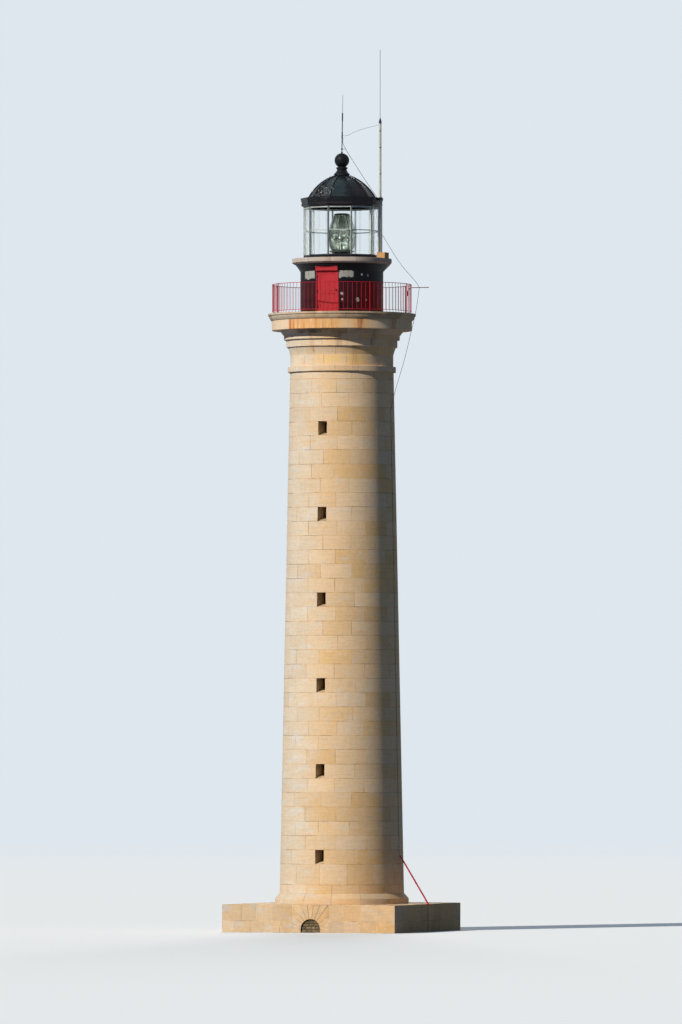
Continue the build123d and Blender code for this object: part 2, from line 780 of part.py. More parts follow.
# Lightning conductor
lead_x = mast_x + mast_radius + clamp_thickness + downlead_gap + downlead_radius
lead_y = -downlead_shift
beside_lead = downlead_radius + conductor_radius + seat_gap
spur_level = rod_base + rod_clamp_height
lead = Pos(lead_x, lead_y, 0) * upright(downlead_radius, mast_foot + seat_gap, lip_top + 2 * downlead_radius)


def sleeve_x(height):
    # The sleeve's outer face on the leaning rod.
    return (rod_sleeve_radius + height * sin(radians(rod_lean))) / cos(radians(rod_lean)) + seat_gap


upper_start = rod_sleeves[0][0] + wire_tail
mast_wire_start = upper_start + 2 * wire_tail
wire_y = lead_y - wire_sideways
upper_wire = wire([(sleeve_x(upper_start) + conductor_radius, 0, rod_base + upper_start),
                   (rod_spur_length + spur_wire_offset, -wire_sideways, spur_level - wire_sideways),
                   (gutter_lip_radius - gutter_wire_inset, wire_y, lip_top + gutter_wire_lift),
                   (lead_x - beside_lead, wire_y, lip_top + wire_sideways)], conductor_radius)
arm_y = -(arm_radius + conductor_radius + seat_gap)
conduit_level = plinth_height + conduit_top
meeting_level = plinth_height + wall_meeting


def wall_x(level):
    return shaft_radius(level) + conductor_radius + seat_gap


lead_off = (lead_x + beside_lead, ledge_level + downlead_free)
support = (lip_radius + wire_support, arm_z)
meeting = (wall_x(meeting_level), meeting_level)
hanging_points = [(lead_off[0], lead_y, lead_off[1])]
for (down, out), y in zip(wire_to_arm, (lead_y, arm_y)):
    x, z = between(lead_off, support, (out, down))
    hanging_points.append((x, y, z))
hanging_points.append((support[0], arm_y, support[1]))
for down, inward in wire_to_wall:
    x, z = between(support, meeting, (inward, down))
    hanging_points.append((x, arm_y, z))
hanging_points.append((meeting[0], arm_y, meeting[1]))
hanging_points.append((wall_x(conduit_level + wire_tail), arm_y, conduit_level + wire_tail))
hanging = wire(hanging_points, conductor_radius)
ground_x = half_side + conductor_radius + seat_gap
ground_wire = Pos(ground_x, 0, 0) * upright(conductor_radius, ground_wire_foot,
                                            plinth_height - conduit_below_edge - wire_tail)
mast_wire = wire([(sleeve_x(mast_wire_start), 0, rod_base + mast_wire_start),
                  (rod_radius + mast_wire_bow[0], 0, rod_base + mast_wire_start + mast_wire_rises[0]),
                  (mast_wire_bow[1] * mast_x, 0, rod_base + mast_wire_start + mast_wire_rises[1]),
                  (mast_x - mast_radius - 8 * seat_gap, 0, mast_head - mast_wire_end)],
                 conductor_radius * mast_wire_thinness)
save("conductor", lead, upper_wire, hanging, ground_wire, mast_wire)

# Two conduits from the shaft to the plinth's edge, resting on both
conduit_start = Vector(shaft_radius(conduit_level) + conduit_radius + conduit_gap, 0, conduit_level)
edge = Vector(half_side, 0, plinth_height)
run = edge - conduit_start
tip = asin((conduit_radius + seat_gap) / run.length)
aim = run.rotate(Axis.Y, -degrees(tip)).normalized()
conduit_end = conduit_start + aim * (run.length + conduit_below_edge)
conduits = []
for side in (-1, 1):
    shift = Vector(0, side * (conduit_radius + loose_fit), 0)
    conduits.append(bar(tuple(conduit_start + shift), tuple(conduit_end + shift), conduit_radius))
save("conductor_conduits", *conduits)
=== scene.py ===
import bmesh
import bpy
import math
import random
from mathutils import Matrix, Vector, noise
from mathutils.bvhtree import BVHTree


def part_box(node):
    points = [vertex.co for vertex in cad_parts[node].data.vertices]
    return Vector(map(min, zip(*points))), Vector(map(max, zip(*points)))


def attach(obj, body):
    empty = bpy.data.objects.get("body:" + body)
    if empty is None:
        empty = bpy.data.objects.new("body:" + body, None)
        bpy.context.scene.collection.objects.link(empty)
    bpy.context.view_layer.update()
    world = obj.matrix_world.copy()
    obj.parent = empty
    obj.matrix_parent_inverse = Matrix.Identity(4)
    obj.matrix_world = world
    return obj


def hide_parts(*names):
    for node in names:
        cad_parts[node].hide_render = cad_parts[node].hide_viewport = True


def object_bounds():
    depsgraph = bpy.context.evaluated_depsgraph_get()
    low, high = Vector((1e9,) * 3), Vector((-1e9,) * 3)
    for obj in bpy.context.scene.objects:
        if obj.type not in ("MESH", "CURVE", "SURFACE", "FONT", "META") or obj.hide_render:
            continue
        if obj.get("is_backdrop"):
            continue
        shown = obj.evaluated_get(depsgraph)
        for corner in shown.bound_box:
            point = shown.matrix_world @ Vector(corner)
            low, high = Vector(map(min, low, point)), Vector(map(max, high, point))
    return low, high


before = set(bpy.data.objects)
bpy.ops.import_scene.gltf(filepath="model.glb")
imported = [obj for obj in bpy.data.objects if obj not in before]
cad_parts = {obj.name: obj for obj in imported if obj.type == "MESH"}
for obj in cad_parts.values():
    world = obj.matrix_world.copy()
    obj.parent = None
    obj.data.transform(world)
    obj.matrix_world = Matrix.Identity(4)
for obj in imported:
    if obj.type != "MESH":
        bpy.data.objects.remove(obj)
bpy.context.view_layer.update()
print("frame loaded")

# Azimuths are in degrees from the door side (-Y) towards +X; lengths are in metres.


def spot(azimuth, radius, height):
    angle = math.radians(azimuth)
    return Vector((radius * math.sin(angle), -radius * math.cos(angle), height))


def standing(azimuth, radius, height):
    # axes at a spot: x along the wall, y away from the tower's axis, z up
    angle = math.radians(azimuth)
    side = Vector((-math.cos(angle), -math.sin(angle), 0))
    out = Vector((math.sin(angle), -math.cos(angle), 0))
    matrix = Matrix((side, out, Vector((0, 0, 1)))).transposed().to_4x4()
    matrix.translation = spot(azimuth, radius, height)
    return matrix


def facing(azimuth, radius, height):
    # the same spot with z outwards, for rings and bolts on upright faces
    return standing(azimuth, radius, height) @ Matrix.Rotation(math.radians(-90), 4, "X")


def nodeTree(node):
    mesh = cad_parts[node].data
    return BVHTree.FromPolygons([v.co for v in mesh.vertices], [p.vertices for p in mesh.polygons])


def outerRadius(tree, azimuth, height):
    start = spot(azimuth, 6, height)      # outside everything
    hit = tree.ray_cast(start, Vector((-start.x, -start.y, 0)).normalized())[0]
    return math.hypot(hit.x, hit.y)


reading = {
    "azimuth": 33,
    "inset": 0.0005,          # from both ends of the node
    "step": 0.006,
    "jump": 0.008,            # a larger change of radius in one step is a sharp edge
    "halvings": 12,           # to find that edge's height
    "keep": 0.0008,
}


def turnedProfile(node, low, high, azimuth=reading["azimuth"]):
    # radius and height up the outside of a turned CAD node, with its sharp steps
    tree = nodeTree(node)
    parts = max(1, round((high - low) / reading["step"]))
    foot, tall = low + reading["inset"], high - low - 2 * reading["inset"]
    heights = [foot + tall * k / parts for k in range(parts + 1)]
    found = [(outerRadius(tree, azimuth, h), h) for h in heights]
    line = [found[0]]
    for (r0, h0), (r1, h1) in zip(found, found[1:]):
        if abs(r1 - r0) > reading["jump"]:
            for _ in range(reading["halvings"]):
                middle = (h0 + h1) / 2
                radius = outerRadius(tree, azimuth, middle)
                if abs(radius - r0) < abs(radius - r1):
                    h0 = middle
                else:
                    h1 = middle
            line += [(r0, h0), (r1, h0)]
        line.append((r1, h1))
    return thinned(line, reading["keep"])


def thinned(line, keep):
    # drops the points that lie within keep of a straight run
    if len(line) < 3:
        return line
    (r0, h0), (r1, h1) = line[0], line[-1]
    length = math.hypot(r1 - r0, h1 - h0) or 1e-9
    away = [abs((r - r0) * (h1 - h0) - (h - h0) * (r1 - r0)) / length for r, h in line]
    worst = max(range(len(line)), key=lambda k: away[k])
    if away[worst] <= keep:
        return [line[0], line[-1]]
    return thinned(line[:worst + 1], keep)[:-1] + thinned(line[worst:], keep)


plainTone = (0.5, 0.5, 0)         # lightness, hue and dirt, each from 0 to 1


class Stock:
    # the points, faces and tones of one piece while it is being made
    def __init__(self):
        self.points, self.faces, self.tones = [], [], []

    def add(self, points, faces, tone):
        start = len(self.points)
        self.points.extend(points)
        self.tones.extend([(*tone, 1)] * len(points))
        self.faces.extend([tuple(start + k for k in face) for face in faces])

    def grid(self, rows, tone=plainTone, closed=False, capped=False, looped=False):
        width, count = len(rows[0]), len(rows)
        faces = []
        for j in range(count if looped else count - 1):
            here, after = j * width, (j + 1) % count * width
            for i in range(width if closed else width - 1):
                other = (i + 1) % width
                faces.append((here + i, here + other, after + other, after + i))
        if capped:
            faces.append(tuple(reversed(range(width))))
            faces.append(tuple(range((count - 1) * width, count * width)))
        self.add([p for row in rows for p in row], faces, tone)

    def piece(self, name, material, slotName, smooth=35, replaces=()):
        mesh = bpy.data.meshes.new(name)
        mesh.from_pydata(self.points, [], self.faces)
        mesh.validate()
        shells = bmesh.new()
        shells.from_mesh(mesh)
        bmesh.ops.recalc_face_normals(shells, faces=shells.faces)
        shells.to_mesh(mesh)
        shells.free()
        tone = mesh.color_attributes.new("tone", "FLOAT_COLOR", "POINT")
        tone.data.foreach_set("color", [value for row in self.tones for value in row])
        mesh.shade_smooth()
        mesh.set_sharp_from_angle(angle=math.radians(smooth))
        mesh.materials.append(material)
        made = bpy.data.objects.new(name, mesh)
        bpy.context.scene.collection.objects.link(made)
        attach(made, "root")
        if replaces:
            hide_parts(*replaces)
        print(name, len(self.faces))


def turnsOf(sides):
    return [2 * math.pi * k / sides for k in range(sides)]


def roundBar(stock, path, radius, sides):
    # a tube along the path
    rows = []
    across = None
    for k, point in enumerate(path):
        before, after = path[max(0, k - 1)], path[min(len(path) - 1, k + 1)]
        along = (after - before).normalized()
        if across is None:
            across = along.orthogonal().normalized()
        across = (across - along * across.dot(along)).normalized()
        other = along.cross(across)
        rows.append([point + (across * math.cos(t) + other * math.sin(t)) * radius for t in turnsOf(sides)])
    stock.grid(rows, closed=True, capped=True)


def turnedPiece(stock, matrix, profile, sides):
    # a solid turned round the matrix's z, from (radius, height) points that run upwards
    rows = [[matrix @ Vector((r * math.cos(t), r * math.sin(t), h)) for t in turnsOf(sides)]
            for r, h in profile]
    stock.grid(rows, closed=True, capped=True)


def turnedRing(stock, matrix, section, sides, start=0, end=360):
    # a closed section of (radius, height) points swept round the matrix's z, all the way or in part
    whole = end - start >= 359.9
    count = sides if whole else sides + 1
    rows = []
    for k in range(count):
        t = math.radians(start + (end - start) * k / sides)
        rows.append([matrix @ Vector((r * math.cos(t), r * math.sin(t), h)) for r, h in section])
    stock.grid(rows, closed=True, capped=not whole, looped=whole)


def bandSection(inner, outer, low, high):
    return [(inner, low), (outer, low), (outer, high), (inner, high)]


def slab(stock, matrix, size, ease=0.004):
    # a box with eased edges, its middle at the matrix's origin
    half = [s / 2 for s in size]
    ease = min(ease, min(half) * 0.45)
    rows = []
    for z, inset in ((-half[2], ease), (ease - half[2], 0), (half[2] - ease, 0), (half[2], ease)):
        x, y = half[0] - inset, half[1] - inset
        ring = [(x - ease, -y), (x, ease - y), (x, y - ease), (x - ease, y),
                (ease - x, y), (-x, y - ease), (-x, ease - y), (ease - x, -y)]
        rows.append([matrix @ Vector((cx, cy, z)) for cx, cy in ring])
    stock.grid(rows, closed=True, capped=True)


def moved(matrix, x=0.0, y=0.0, z=0.0):
    return matrix @ Matrix.Translation((x, y, z))


def boltHead(stock, matrix, radius, height=0.01):
    # six-sided; stands on the matrix's xy plane and points along its z
    turnedPiece(stock, matrix, [(radius, -0.004), (radius, height * 0.7), (radius * 0.72, height)], 6)


def rivetHead(stock, matrix, radius, height):
    profile = [(radius, -0.003), (radius * 0.93, height * 0.45), (radius * 0.5, height)]
    turnedPiece(stock, matrix, profile, 7)


# Materials are node trees built by a few short functions.


def paint(red, green, blue):
    # 0-255 screen colour to the linear colour that Blender's sockets hold
    linear = []
    for value in (red, green, blue):
        share = min(255, value) / 255
        linear.append(share / 12.92 if share <= 0.04045 else ((share + 0.055) / 1.055) ** 2.4)
    return (*linear, 1)


def shaded(tint, share):
    return [value * share for value in tint]


def treeFor(name):
    material = bpy.data.materials.new(name)
    material.use_nodes = True
    tree = material.node_tree
    tree.nodes.clear()
    output = tree.nodes.new("ShaderNodeOutputMaterial")
    shader = tree.nodes.new("ShaderNodeBsdfPrincipled")
    tree.links.new(shader.outputs["BSDF"], output.inputs["Surface"])
    return material, tree, shader


def plug(tree, socket, value):
    if isinstance(value, bpy.types.NodeSocket):
        tree.links.new(value, socket)
    else:
        socket.default_value = value


def maths(tree, operation, first, second=0.0, clamp=False):
    node = tree.nodes.new("ShaderNodeMath")
    node.operation = operation
    node.use_clamp = clamp
    plug(tree, node.inputs[0], first)
    plug(tree, node.inputs[1], second)
    return node.outputs[0]


def times(tree, first, *others):
    for other in others:
        first = maths(tree, "MULTIPLY", first, other)
    return first


def blendOf(tree, share, first, second, mode="MIX"):
    node = tree.nodes.new("ShaderNodeMix")
    node.data_type = "RGBA"
    node.blend_type = mode
    plug(tree, node.inputs["Factor"], share)
    plug(tree, node.inputs["A"], first)
    plug(tree, node.inputs["B"], second)
    return node.outputs["Result"]


def laid(tree, colour, share, tint):
    # a 0-255 tint laid over the colour, whole where share is 1
    return blendOf(tree, share, colour, paint(*tint))


def lifted(tree, base, value, amount):
    return maths(tree, "ADD", base, times(tree, value, amount))


def finished(tree, shader, colour, roughness, specular):
    plug(tree, shader.inputs["Base Color"], colour)
    plug(tree, shader.inputs["Roughness"], roughness)
    shader.inputs["Specular IOR Level"].default_value = specular


def between(tree, value, low, high):
    # 0 at low, 1 at high, smooth between
    node = tree.nodes.new("ShaderNodeMapRange")
    node.interpolation_type = "SMOOTHSTEP"
    plug(tree, node.inputs["Value"], value)
    node.inputs["From Min"].default_value = low
    node.inputs["From Max"].default_value = high
    return node.outputs["Result"]


def place(tree):
    return tree.nodes.new("ShaderNodeTexCoord").outputs["Object"]


def stretched(tree, vector, scale):
    node = tree.nodes.new("ShaderNodeMapping")
    plug(tree, node.inputs["Vector"], vector)
    node.inputs["Scale"].default_value = scale
    return node.outputs["Vector"]


def grain(tree, vector, scale, detail=4, rough=0.55):
    node = tree.nodes.new("ShaderNodeTexNoise")
    plug(tree, node.inputs["Vector"], vector)
    node.inputs["Scale"].default_value = scale
    node.inputs["Detail"].default_value = detail
    node.inputs["Roughness"].default_value = rough
    return node.outputs["Fac"]


def cells(tree, vector, scale):
    node = tree.nodes.new("ShaderNodeTexVoronoi")
    plug(tree, node.inputs["Vector"], vector)
    node.inputs["Scale"].default_value = scale
    return node.outputs["Distance"]


def bumped(tree, shader, height, strength, distance):
    node = tree.nodes.new("ShaderNodeBump")
    plug(tree, node.inputs["Height"], height)
    node.inputs["Strength"].default_value = strength
    node.inputs["Distance"].default_value = distance
    tree.links.new(node.outputs["Normal"], shader.inputs["Normal"])


def roundPlace(tree):
    # azimuth in degrees, distance from the axis and height, for stains on the turned parts
    split = tree.nodes.new("ShaderNodeSeparateXYZ")
    tree.links.new(place(tree), split.inputs[0])
    x, y, z = split.outputs
    angle = times(tree, maths(tree, "ARCTAN2", x, times(tree, y, -1.0)), 180 / math.pi)
    radius = maths(tree, "SQRT", maths(tree, "ADD", times(tree, x, x), times(tree, y, y)))
    return angle, radius, z


def joined3(tree, x, y, z):
    node = tree.nodes.new("ShaderNodeCombineXYZ")
    for socket, value in zip(node.inputs, (x, y, z)):
        plug(tree, socket, value)
    return node.outputs[0]


def windowOf(tree, value, low, high, soft):
    # 1 between low and high, fading over soft on both sides
    return times(tree, between(tree, value, low - soft, low + soft),
                 between(tree, value, high + soft, high - soft))


def patchOf(tree, angle, height, middle, size, cloud, ragged=0.35):
    # 1 inside an oval patch round (azimuth, height) with the given half sizes, its edge torn by the cloud
    across = times(tree, maths(tree, "SUBTRACT", angle, middle[0]), 1 / size[0])
    up = times(tree, maths(tree, "SUBTRACT", height, middle[1]), 1 / size[1])
    away = maths(tree, "SQRT", maths(tree, "ADD", times(tree, across, across), times(tree, up, up)))
    away = lifted(tree, away, maths(tree, "SUBTRACT", cloud, 0.5), ragged * 4)
    return between(tree, away, 1.1, 0.9)


stoneLook = {
    "pale": (238, 206, 166),
    "warm": (232, 194, 146),
    "rose": (232, 203, 170),
    "weather": (219, 205, 184),
    "weatherFrom": -150,
    "weatherTo": -12,
    "weatherSoft": 24,
    "ochre": (236, 192, 130),
    "chalk": (222, 216, 208),
    "bed": (206, 152, 90),
    "soot": (104, 92, 78),
    "footTone": 0.93,         # how much of the tone is left at the foot, and the height it is whole at
    "footTop": 7.0,
    "roughness": 0.9,
    "specular": 0.12,
    "relief": 0.008,
}


def stoneTones(tree, look, where, angle, hue, cloud, beds):
    # pale, warm, rose and ochre stones, greyer and chalky on the weather side
    broad = grain(tree, where, 0.45, 3)
    chalk = grain(tree, stretched(tree, where, (1.1, 1.1, 2.6)), 1.0, 6, 0.66)
    side = windowOf(tree, angle, look["weatherFrom"], look["weatherTo"], look["weatherSoft"])
    colour = laid(tree, paint(*look["pale"]), between(tree, hue, 0.3, 1.0), look["warm"])
    for tint, mask in (
            ("rose", between(tree, hue, 0.2, 0.0)),
            ("ochre", times(tree, between(tree, hue, 0.86, 0.92), between(tree, cloud, 0.3, 0.6), 0.6)),
            ("warm", times(tree, between(tree, broad, 0.48, 0.74), 0.5)),
            ("weather", times(tree, side, 0.85)),
            ("chalk", times(tree, between(tree, chalk, 0.5, 0.66), lifted(tree, 0.25, side, 0.5))),
            ("bed", times(tree, between(tree, beds, 0.52, 0.68), 0.3))):
        colour = laid(tree, colour, mask, look[tint])
    return colour


def stoneShade(tree, look, value, height, spread, darker, fine, mottle, beds):
    # how light the stone is: its own tone, and the mottling and beds in it
    foot = look["footTone"]
    return times(tree, lifted(tree, (1 - spread) * darker, value, spread),
                 lifted(tree, 0.96, fine, 0.08),
                 lifted(tree, 0.95, between(tree, mottle, 0.34, 0.62), 0.08),
                 lifted(tree, 0.93, between(tree, beds, 0.32, 0.6), 0.1),
                 lifted(tree, foot, between(tree, height, 0.5, look["footTop"]), 1 - foot))


def roundGrain(tree, angle, height, across, upright, offset=0.0, detail=5, rough=0.6):
    # a grain laid round the tower, per degree and per metre of height
    vector = joined3(tree, times(tree, angle, across), times(tree, height, upright), offset)
    return grain(tree, vector, 1.0, detail, rough)


def stoneMaterial(name, look=stoneLook, spread=0.08, stains=(), runs=(), soot=0.14, drip=0.08, darker=1.0):
    # stains: azimuth from, to, height from, to, strength, colour, softness in degrees
    # runs: the same, broken into upright streaks
    material, tree, shader = treeFor(name)
    where = place(tree)
    tone = tree.nodes.new("ShaderNodeAttribute")
    tone.attribute_name = "tone"
    split = tree.nodes.new("ShaderNodeSeparateColor")
    tree.links.new(tone.outputs["Color"], split.inputs[0])
    value, hue, dirt = split.outputs
    angle, radius, height = roundPlace(tree)
    beds = grain(tree, stretched(tree, where, (0.8, 0.8, 13)), 1.0, 6, 0.62)
    fine = grain(tree, where, 46, 5, 0.65)
    cloud = grain(tree, where, 2.6, 6, 0.62)
    mottle = grain(tree, where, 8.0, 6, 0.7)
    colour = stoneTones(tree, look, where, angle, hue, cloud, beds)
    shade = stoneShade(tree, look, value, height, spread, darker, fine, mottle, beds)
    colour = blendOf(tree, 1.0, colour, joined3(tree, shade, shade, shade), "MULTIPLY")

    strands = roundGrain(tree, angle, height, 0.55, 1.1)
    patchy, streaky = between(tree, cloud, 0.28, 0.6), between(tree, strands, 0.24, 0.58)
    for kind, ragged in ((stains, patchy), (runs, streaky)):
        for first, last, low, high, strength, tint, soft in kind:
            mask = times(tree, windowOf(tree, angle, first, last, soft),
                         windowOf(tree, height, low, high, 0.03), ragged, strength)
            colour = laid(tree, colour, mask, tint)

    drips = roundGrain(tree, angle, height, 0.9, 0.16, 3.0, rough=0.55)
    grime = times(tree, between(tree, grain(tree, where, 1.1, 8, 0.7), 0.58, 0.8), soot)
    grime = maths(tree, "MAXIMUM", grime, times(tree, dirt, between(tree, cloud, 0.25, 0.6)))
    pits = times(tree, between(tree, cells(tree, where, 7.0), 0.07, 0.04),
                 between(tree, grain(tree, where, 0.9, 2), 0.61, 0.66))
    for mask in (times(tree, between(tree, drips, 0.55, 0.7), drip), grime, times(tree, pits, 0.7)):
        colour = laid(tree, colour, mask, look["soot"])
    finished(tree, shader, colour, look["roughness"], look["specular"])
    relief = maths(tree, "ADD", times(tree, fine, 0.35), times(tree, beds, 0.6))
    bumped(tree, shader, maths(tree, "SUBTRACT", relief, pits), 0.4, look["relief"])
    return material


def mortarMaterial(name, edgeRadius, slope=0.0, joint=(150, 112, 72), inside=(214, 190, 154)):
    # joints outside the edge radius, limewashed stone inside it
    material, tree, shader = treeFor(name)
    where = place(tree)
    angle, radius, height = roundPlace(tree)
    limit = lifted(tree, edgeRadius, height, slope)
    outside = between(tree, maths(tree, "SUBTRACT", radius, limit), -0.03, 0.0)
    sand = grain(tree, where, 60, 5, 0.7)
    washedOut = between(tree, grain(tree, where, 0.9, 5, 0.65), 0.58, 0.46)
    dark = laid(tree, paint(*shaded(joint, 0.5)), washedOut, shaded(joint, 1.42))
    dark = laid(tree, dark, times(tree, sand, 0.5), joint)
    stained = between(tree, grain(tree, where, 2.2, 6, 0.65), 0.35, 0.7)
    wash = laid(tree, paint(*inside), stained, shaded(inside, 0.84))
    finished(tree, shader, blendOf(tree, outside, wash, dark), 0.95, 0.1)
    bumped(tree, shader, sand, 0.4, 0.006)
    return material


paintGrain = {"fade": 2.25, "chips": 9.0, "brush": 81.0}


def paintedMaterial(name, colour, second, chips, under, roughness=0.45, metal=0.0, specular=0.25,
                    below=None):
    # brushed paint with a fading second tone and chips down to what lies under it
    # below: a height, and the colour that the paint has under it
    material, tree, shader = treeFor(name)
    where = place(tree)
    fade = between(tree, grain(tree, where, paintGrain["fade"], 5, 0.6), 0.35, 0.7)
    brush = grain(tree, where, paintGrain["brush"], 4, 0.6)
    base = laid(tree, paint(*colour), fade, second)
    base = laid(tree, base, times(tree, brush, 0.25), shaded(colour, 0.6))
    if below:
        level, tint = below
        height = roundPlace(tree)[2]
        base = laid(tree, base, between(tree, height, level + 0.004, level - 0.004), tint)
    chip = lifted(tree, grain(tree, where, paintGrain["chips"], 8, 0.7), brush, 0.12)
    mask = between(tree, chip, 0.86 - 0.14 * chips, 0.9 - 0.14 * chips)
    base = laid(tree, base, mask, under)
    gloss = maths(tree, "ADD", roughness, times(tree, mask, 0.35), clamp=True)
    finished(tree, shader, base, gloss, specular)
    shader.inputs["Metallic"].default_value = metal
    bumped(tree, shader, maths(tree, "SUBTRACT", times(tree, brush, 0.2), mask), 0.35, 0.003)
    return material


def glassMaterial(name, tint, dust, ior=1.45, alpha=1.0):
    material, tree, shader = treeFor(name)
    salt = between(tree, grain(tree, place(tree), 5, 6, 0.7), 0.5, 0.8)
    tree.links.new(laid(tree, paint(*tint), times(tree, salt, dust), (226, 230, 226)),
                   shader.inputs["Base Color"])
    tree.links.new(lifted(tree, 0.03, salt, 0.1), shader.inputs["Roughness"])
    shader.inputs["IOR"].default_value = ior
    shader.inputs["Transmission Weight"].default_value = 1.0
    shader.inputs["Alpha"].default_value = alpha
    return material


def dress(nodes, material):
    for name in nodes:
        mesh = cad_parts[name].data
        mesh.materials.clear()
        mesh.materials.append(material)


print("materials ready")

# Stones: each block is a shell with its own eased, slightly uneven face, standing just
# proud of the CAD wall, which shows between the blocks as the mortar.

stones = {
    "seed": 41,
    "proud": 0.005,
    "seat": 0.004,            # how far each shell reaches into the wall
    "joint": 0.012,
    "chamfer": 0.004,
    "draft": 0.0015,
    "uneven": 0.0005,
    "unevenGrain": 4.1,
    "wander": 0.0025,         # how far the edges stray from straight
    "wanderGrain": 2.3,
    "sharp": 15,
    "spacing": 0.075,
    "rise": 0.32,
}
chance = random.Random(stones["seed"])


def blockTone(dirt=0.0):
    return (chance.random(), chance.random(), dirt * chance.random())


def stonePiece(stock, name, material, slotName="limestone"):
    stock.piece(name, material, slotName, smooth=stones["sharp"])


def stations(low, high, ease, draft, parts):
    # places across a stone, each with its class: 0 sunk in the joint, 1 edge, 2 face
    inner = [low + ease + (high - low - 2 * ease) * k / parts for k in range(parts + 1)]
    return [(low - draft, 0), (low, 1)] + [(x, 2) for x in inner] + [(high, 1), (high + draft, 0)]


def block(stock, surface, across, up, scale, tone, look=stones):
    # surface(u, v, out) gives a point; scale is metres a unit of u
    half = look["joint"] / 2
    u0, u1 = across[0] + half / scale, across[1] - half / scale
    v0, v1 = up[0] + half, up[1] - half
    ease = min(look["chamfer"], (v1 - v0) * 0.3, (u1 - u0) * scale * 0.3)
    wide = max(2, round((u1 - u0) * scale / look["spacing"]))
    tall = max(1, round((v1 - v0) / look["rise"]))
    columns = stations(u0, u1, ease / scale, look["draft"] / scale, wide)
    rows = stations(v0, v1, ease, look["draft"], tall)
    depth = (-look["seat"], look["proud"] - ease, look["proud"])
    grid = []
    for v, vClass in rows:
        row = []
        for u, uClass in columns:
            level = min(uClass, vClass)
            flat = surface(u, v, 0)
            bend = noise.noise(flat * look["wanderGrain"]) * look["wander"] if level else 0
            out = depth[level]
            if level == 2:
                out += noise.noise(flat * look["unevenGrain"]) * look["uneven"]
            aside, upwards = bend if uClass < 2 else 0, bend if vClass < 2 else 0
            row.append(surface(u + aside / scale, v + upwards, out))
        grid.append(row)
    width, count = len(columns), len(rows)
    faces = [(j * width + i, j * width + i + 1, (j + 1) * width + i + 1, (j + 1) * width + i)
             for j in range(count - 1) for i in range(width - 1)]
    rim = list(range(width)) + [j * width + width - 1 for j in range(1, count)]
    rim += [(count - 1) * width + i for i in range(width - 2, -1, -1)]
    rim += [j * width for j in range(count - 2, 0, -1)]
    faces.append(tuple(reversed(rim)))
    stock.add([p for row in grid for p in row], faces, tone)


def splitRun(start, end, count, jitter):
    # joints from start to end, the inner ones moved a little
    step = (end - start) / count
    inner = [start + step * k + chance.uniform(-jitter, jitter) for k in range(1, count)]
    return [start, *inner, end]


def pairs(marks):
    return list(zip(marks, marks[1:]))


def ringRanges(count, first, jitter=0.8, backHalf=0.0):
    # azimuths of a ring's stones, left open at the back by backHalf degrees each way
    step = 360 / count
    marks = [first + step * k + chance.uniform(-jitter, jitter) for k in range(count)]
    if not backHalf:
        return pairs(marks + [marks[0] + 360])
    marks = sorted((mark + 180) % 360 - 180 for mark in marks)
    marks = [mark for mark in marks if abs(mark) < 180 - backHalf - step * 0.35]
    return pairs([backHalf - 180, *marks, 180 - backHalf])


shaft = {
    "foot": 1.6,
    "plainFrom": 1.97,
    "tallCourseTop": 2.83,
    "course": 0.597,
    "leastCourse": 0.1,       # what is left under the capital joins the last course if it is thinner
    "blocksRound": 12,
    "footBlocks": 14,
    "footJoint": -13.4,
    "tallJoint": 0.3,
    "windowWidth": 0.38,
    "windowEvery": 6,
    "windows": 6,
    "doorHalf": 0.5,
    "doorHead": 3.25,
    "surroundHalf": 0.78,
    "surroundTop": 4.024,
    "jitter": 2.2,
    "footJitter": 0.3,
    "measuredAt": 60,         # an azimuth clear of the windows and the entrance
}
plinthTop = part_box("plinth")[1].z
capitalLow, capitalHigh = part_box("capital")
shaftTop = capitalLow.z
sideTree = nodeTree("shaft_side_walls_front")
footLevel = shaft["foot"]
footRadius = outerRadius(sideTree, shaft["measuredAt"], footLevel + 0.01)
topRadius = outerRadius(sideTree, shaft["measuredAt"], shaftTop - 0.01)
shaftSlope = (topRadius - footRadius) / (shaftTop - footLevel)


def coneRadius(height):
    return footRadius + shaftSlope * (height - footLevel)


def coneSurface(azimuth, height, out):
    return spot(azimuth, coneRadius(height) + out, height)


def shaftLevels():
    levels = [footLevel, shaft["plainFrom"], shaft["tallCourseTop"]]
    while levels[-1] + shaft["course"] < shaftTop - shaft["leastCourse"]:
        levels.append(levels[-1] + shaft["course"])
    return levels + [shaftTop]


def halfAngle(width, radius):
    return math.degrees(math.asin(width / radius))


def courseStretches(low, high):
    # the azimuth ranges that a course runs through, cut at windows and at the entrance
    radius = coneRadius((low + high) / 2)
    back = halfAngle(shaft["surroundHalf"], radius) if high < shaft["surroundTop"] + 0.01 else 0
    if low < shaft["tallCourseTop"] - 0.01:
        first = shaft["footJoint"] if low < shaft["plainFrom"] - 0.01 else shaft["tallJoint"]
        return ringRanges(shaft["footBlocks"], first, shaft["footJitter"], back)
    course = round((low - shaft["tallCourseTop"]) / shaft["course"])
    isWindow = course % shaft["windowEvery"] == 0 and course < shaft["windows"] * shaft["windowEvery"]
    front = halfAngle(shaft["windowWidth"] / 2, radius) if isWindow else 0
    step = 360 / shaft["blocksRound"]
    first = front if front else (step / 2 if course % 2 else 0)
    if not isWindow and not back:
        return ringRanges(shaft["blocksRound"], first, shaft["jitter"])
    ends = splitRun(first, 180 - back, round((180 - back - first) / step), shaft["jitter"])
    left = splitRun(back - 180, -first, round((180 - back - first) / step), shaft["jitter"])
    ranges = pairs(ends) + pairs(left)
    if not front and first:
        ranges.append((-first, first))
    return ranges


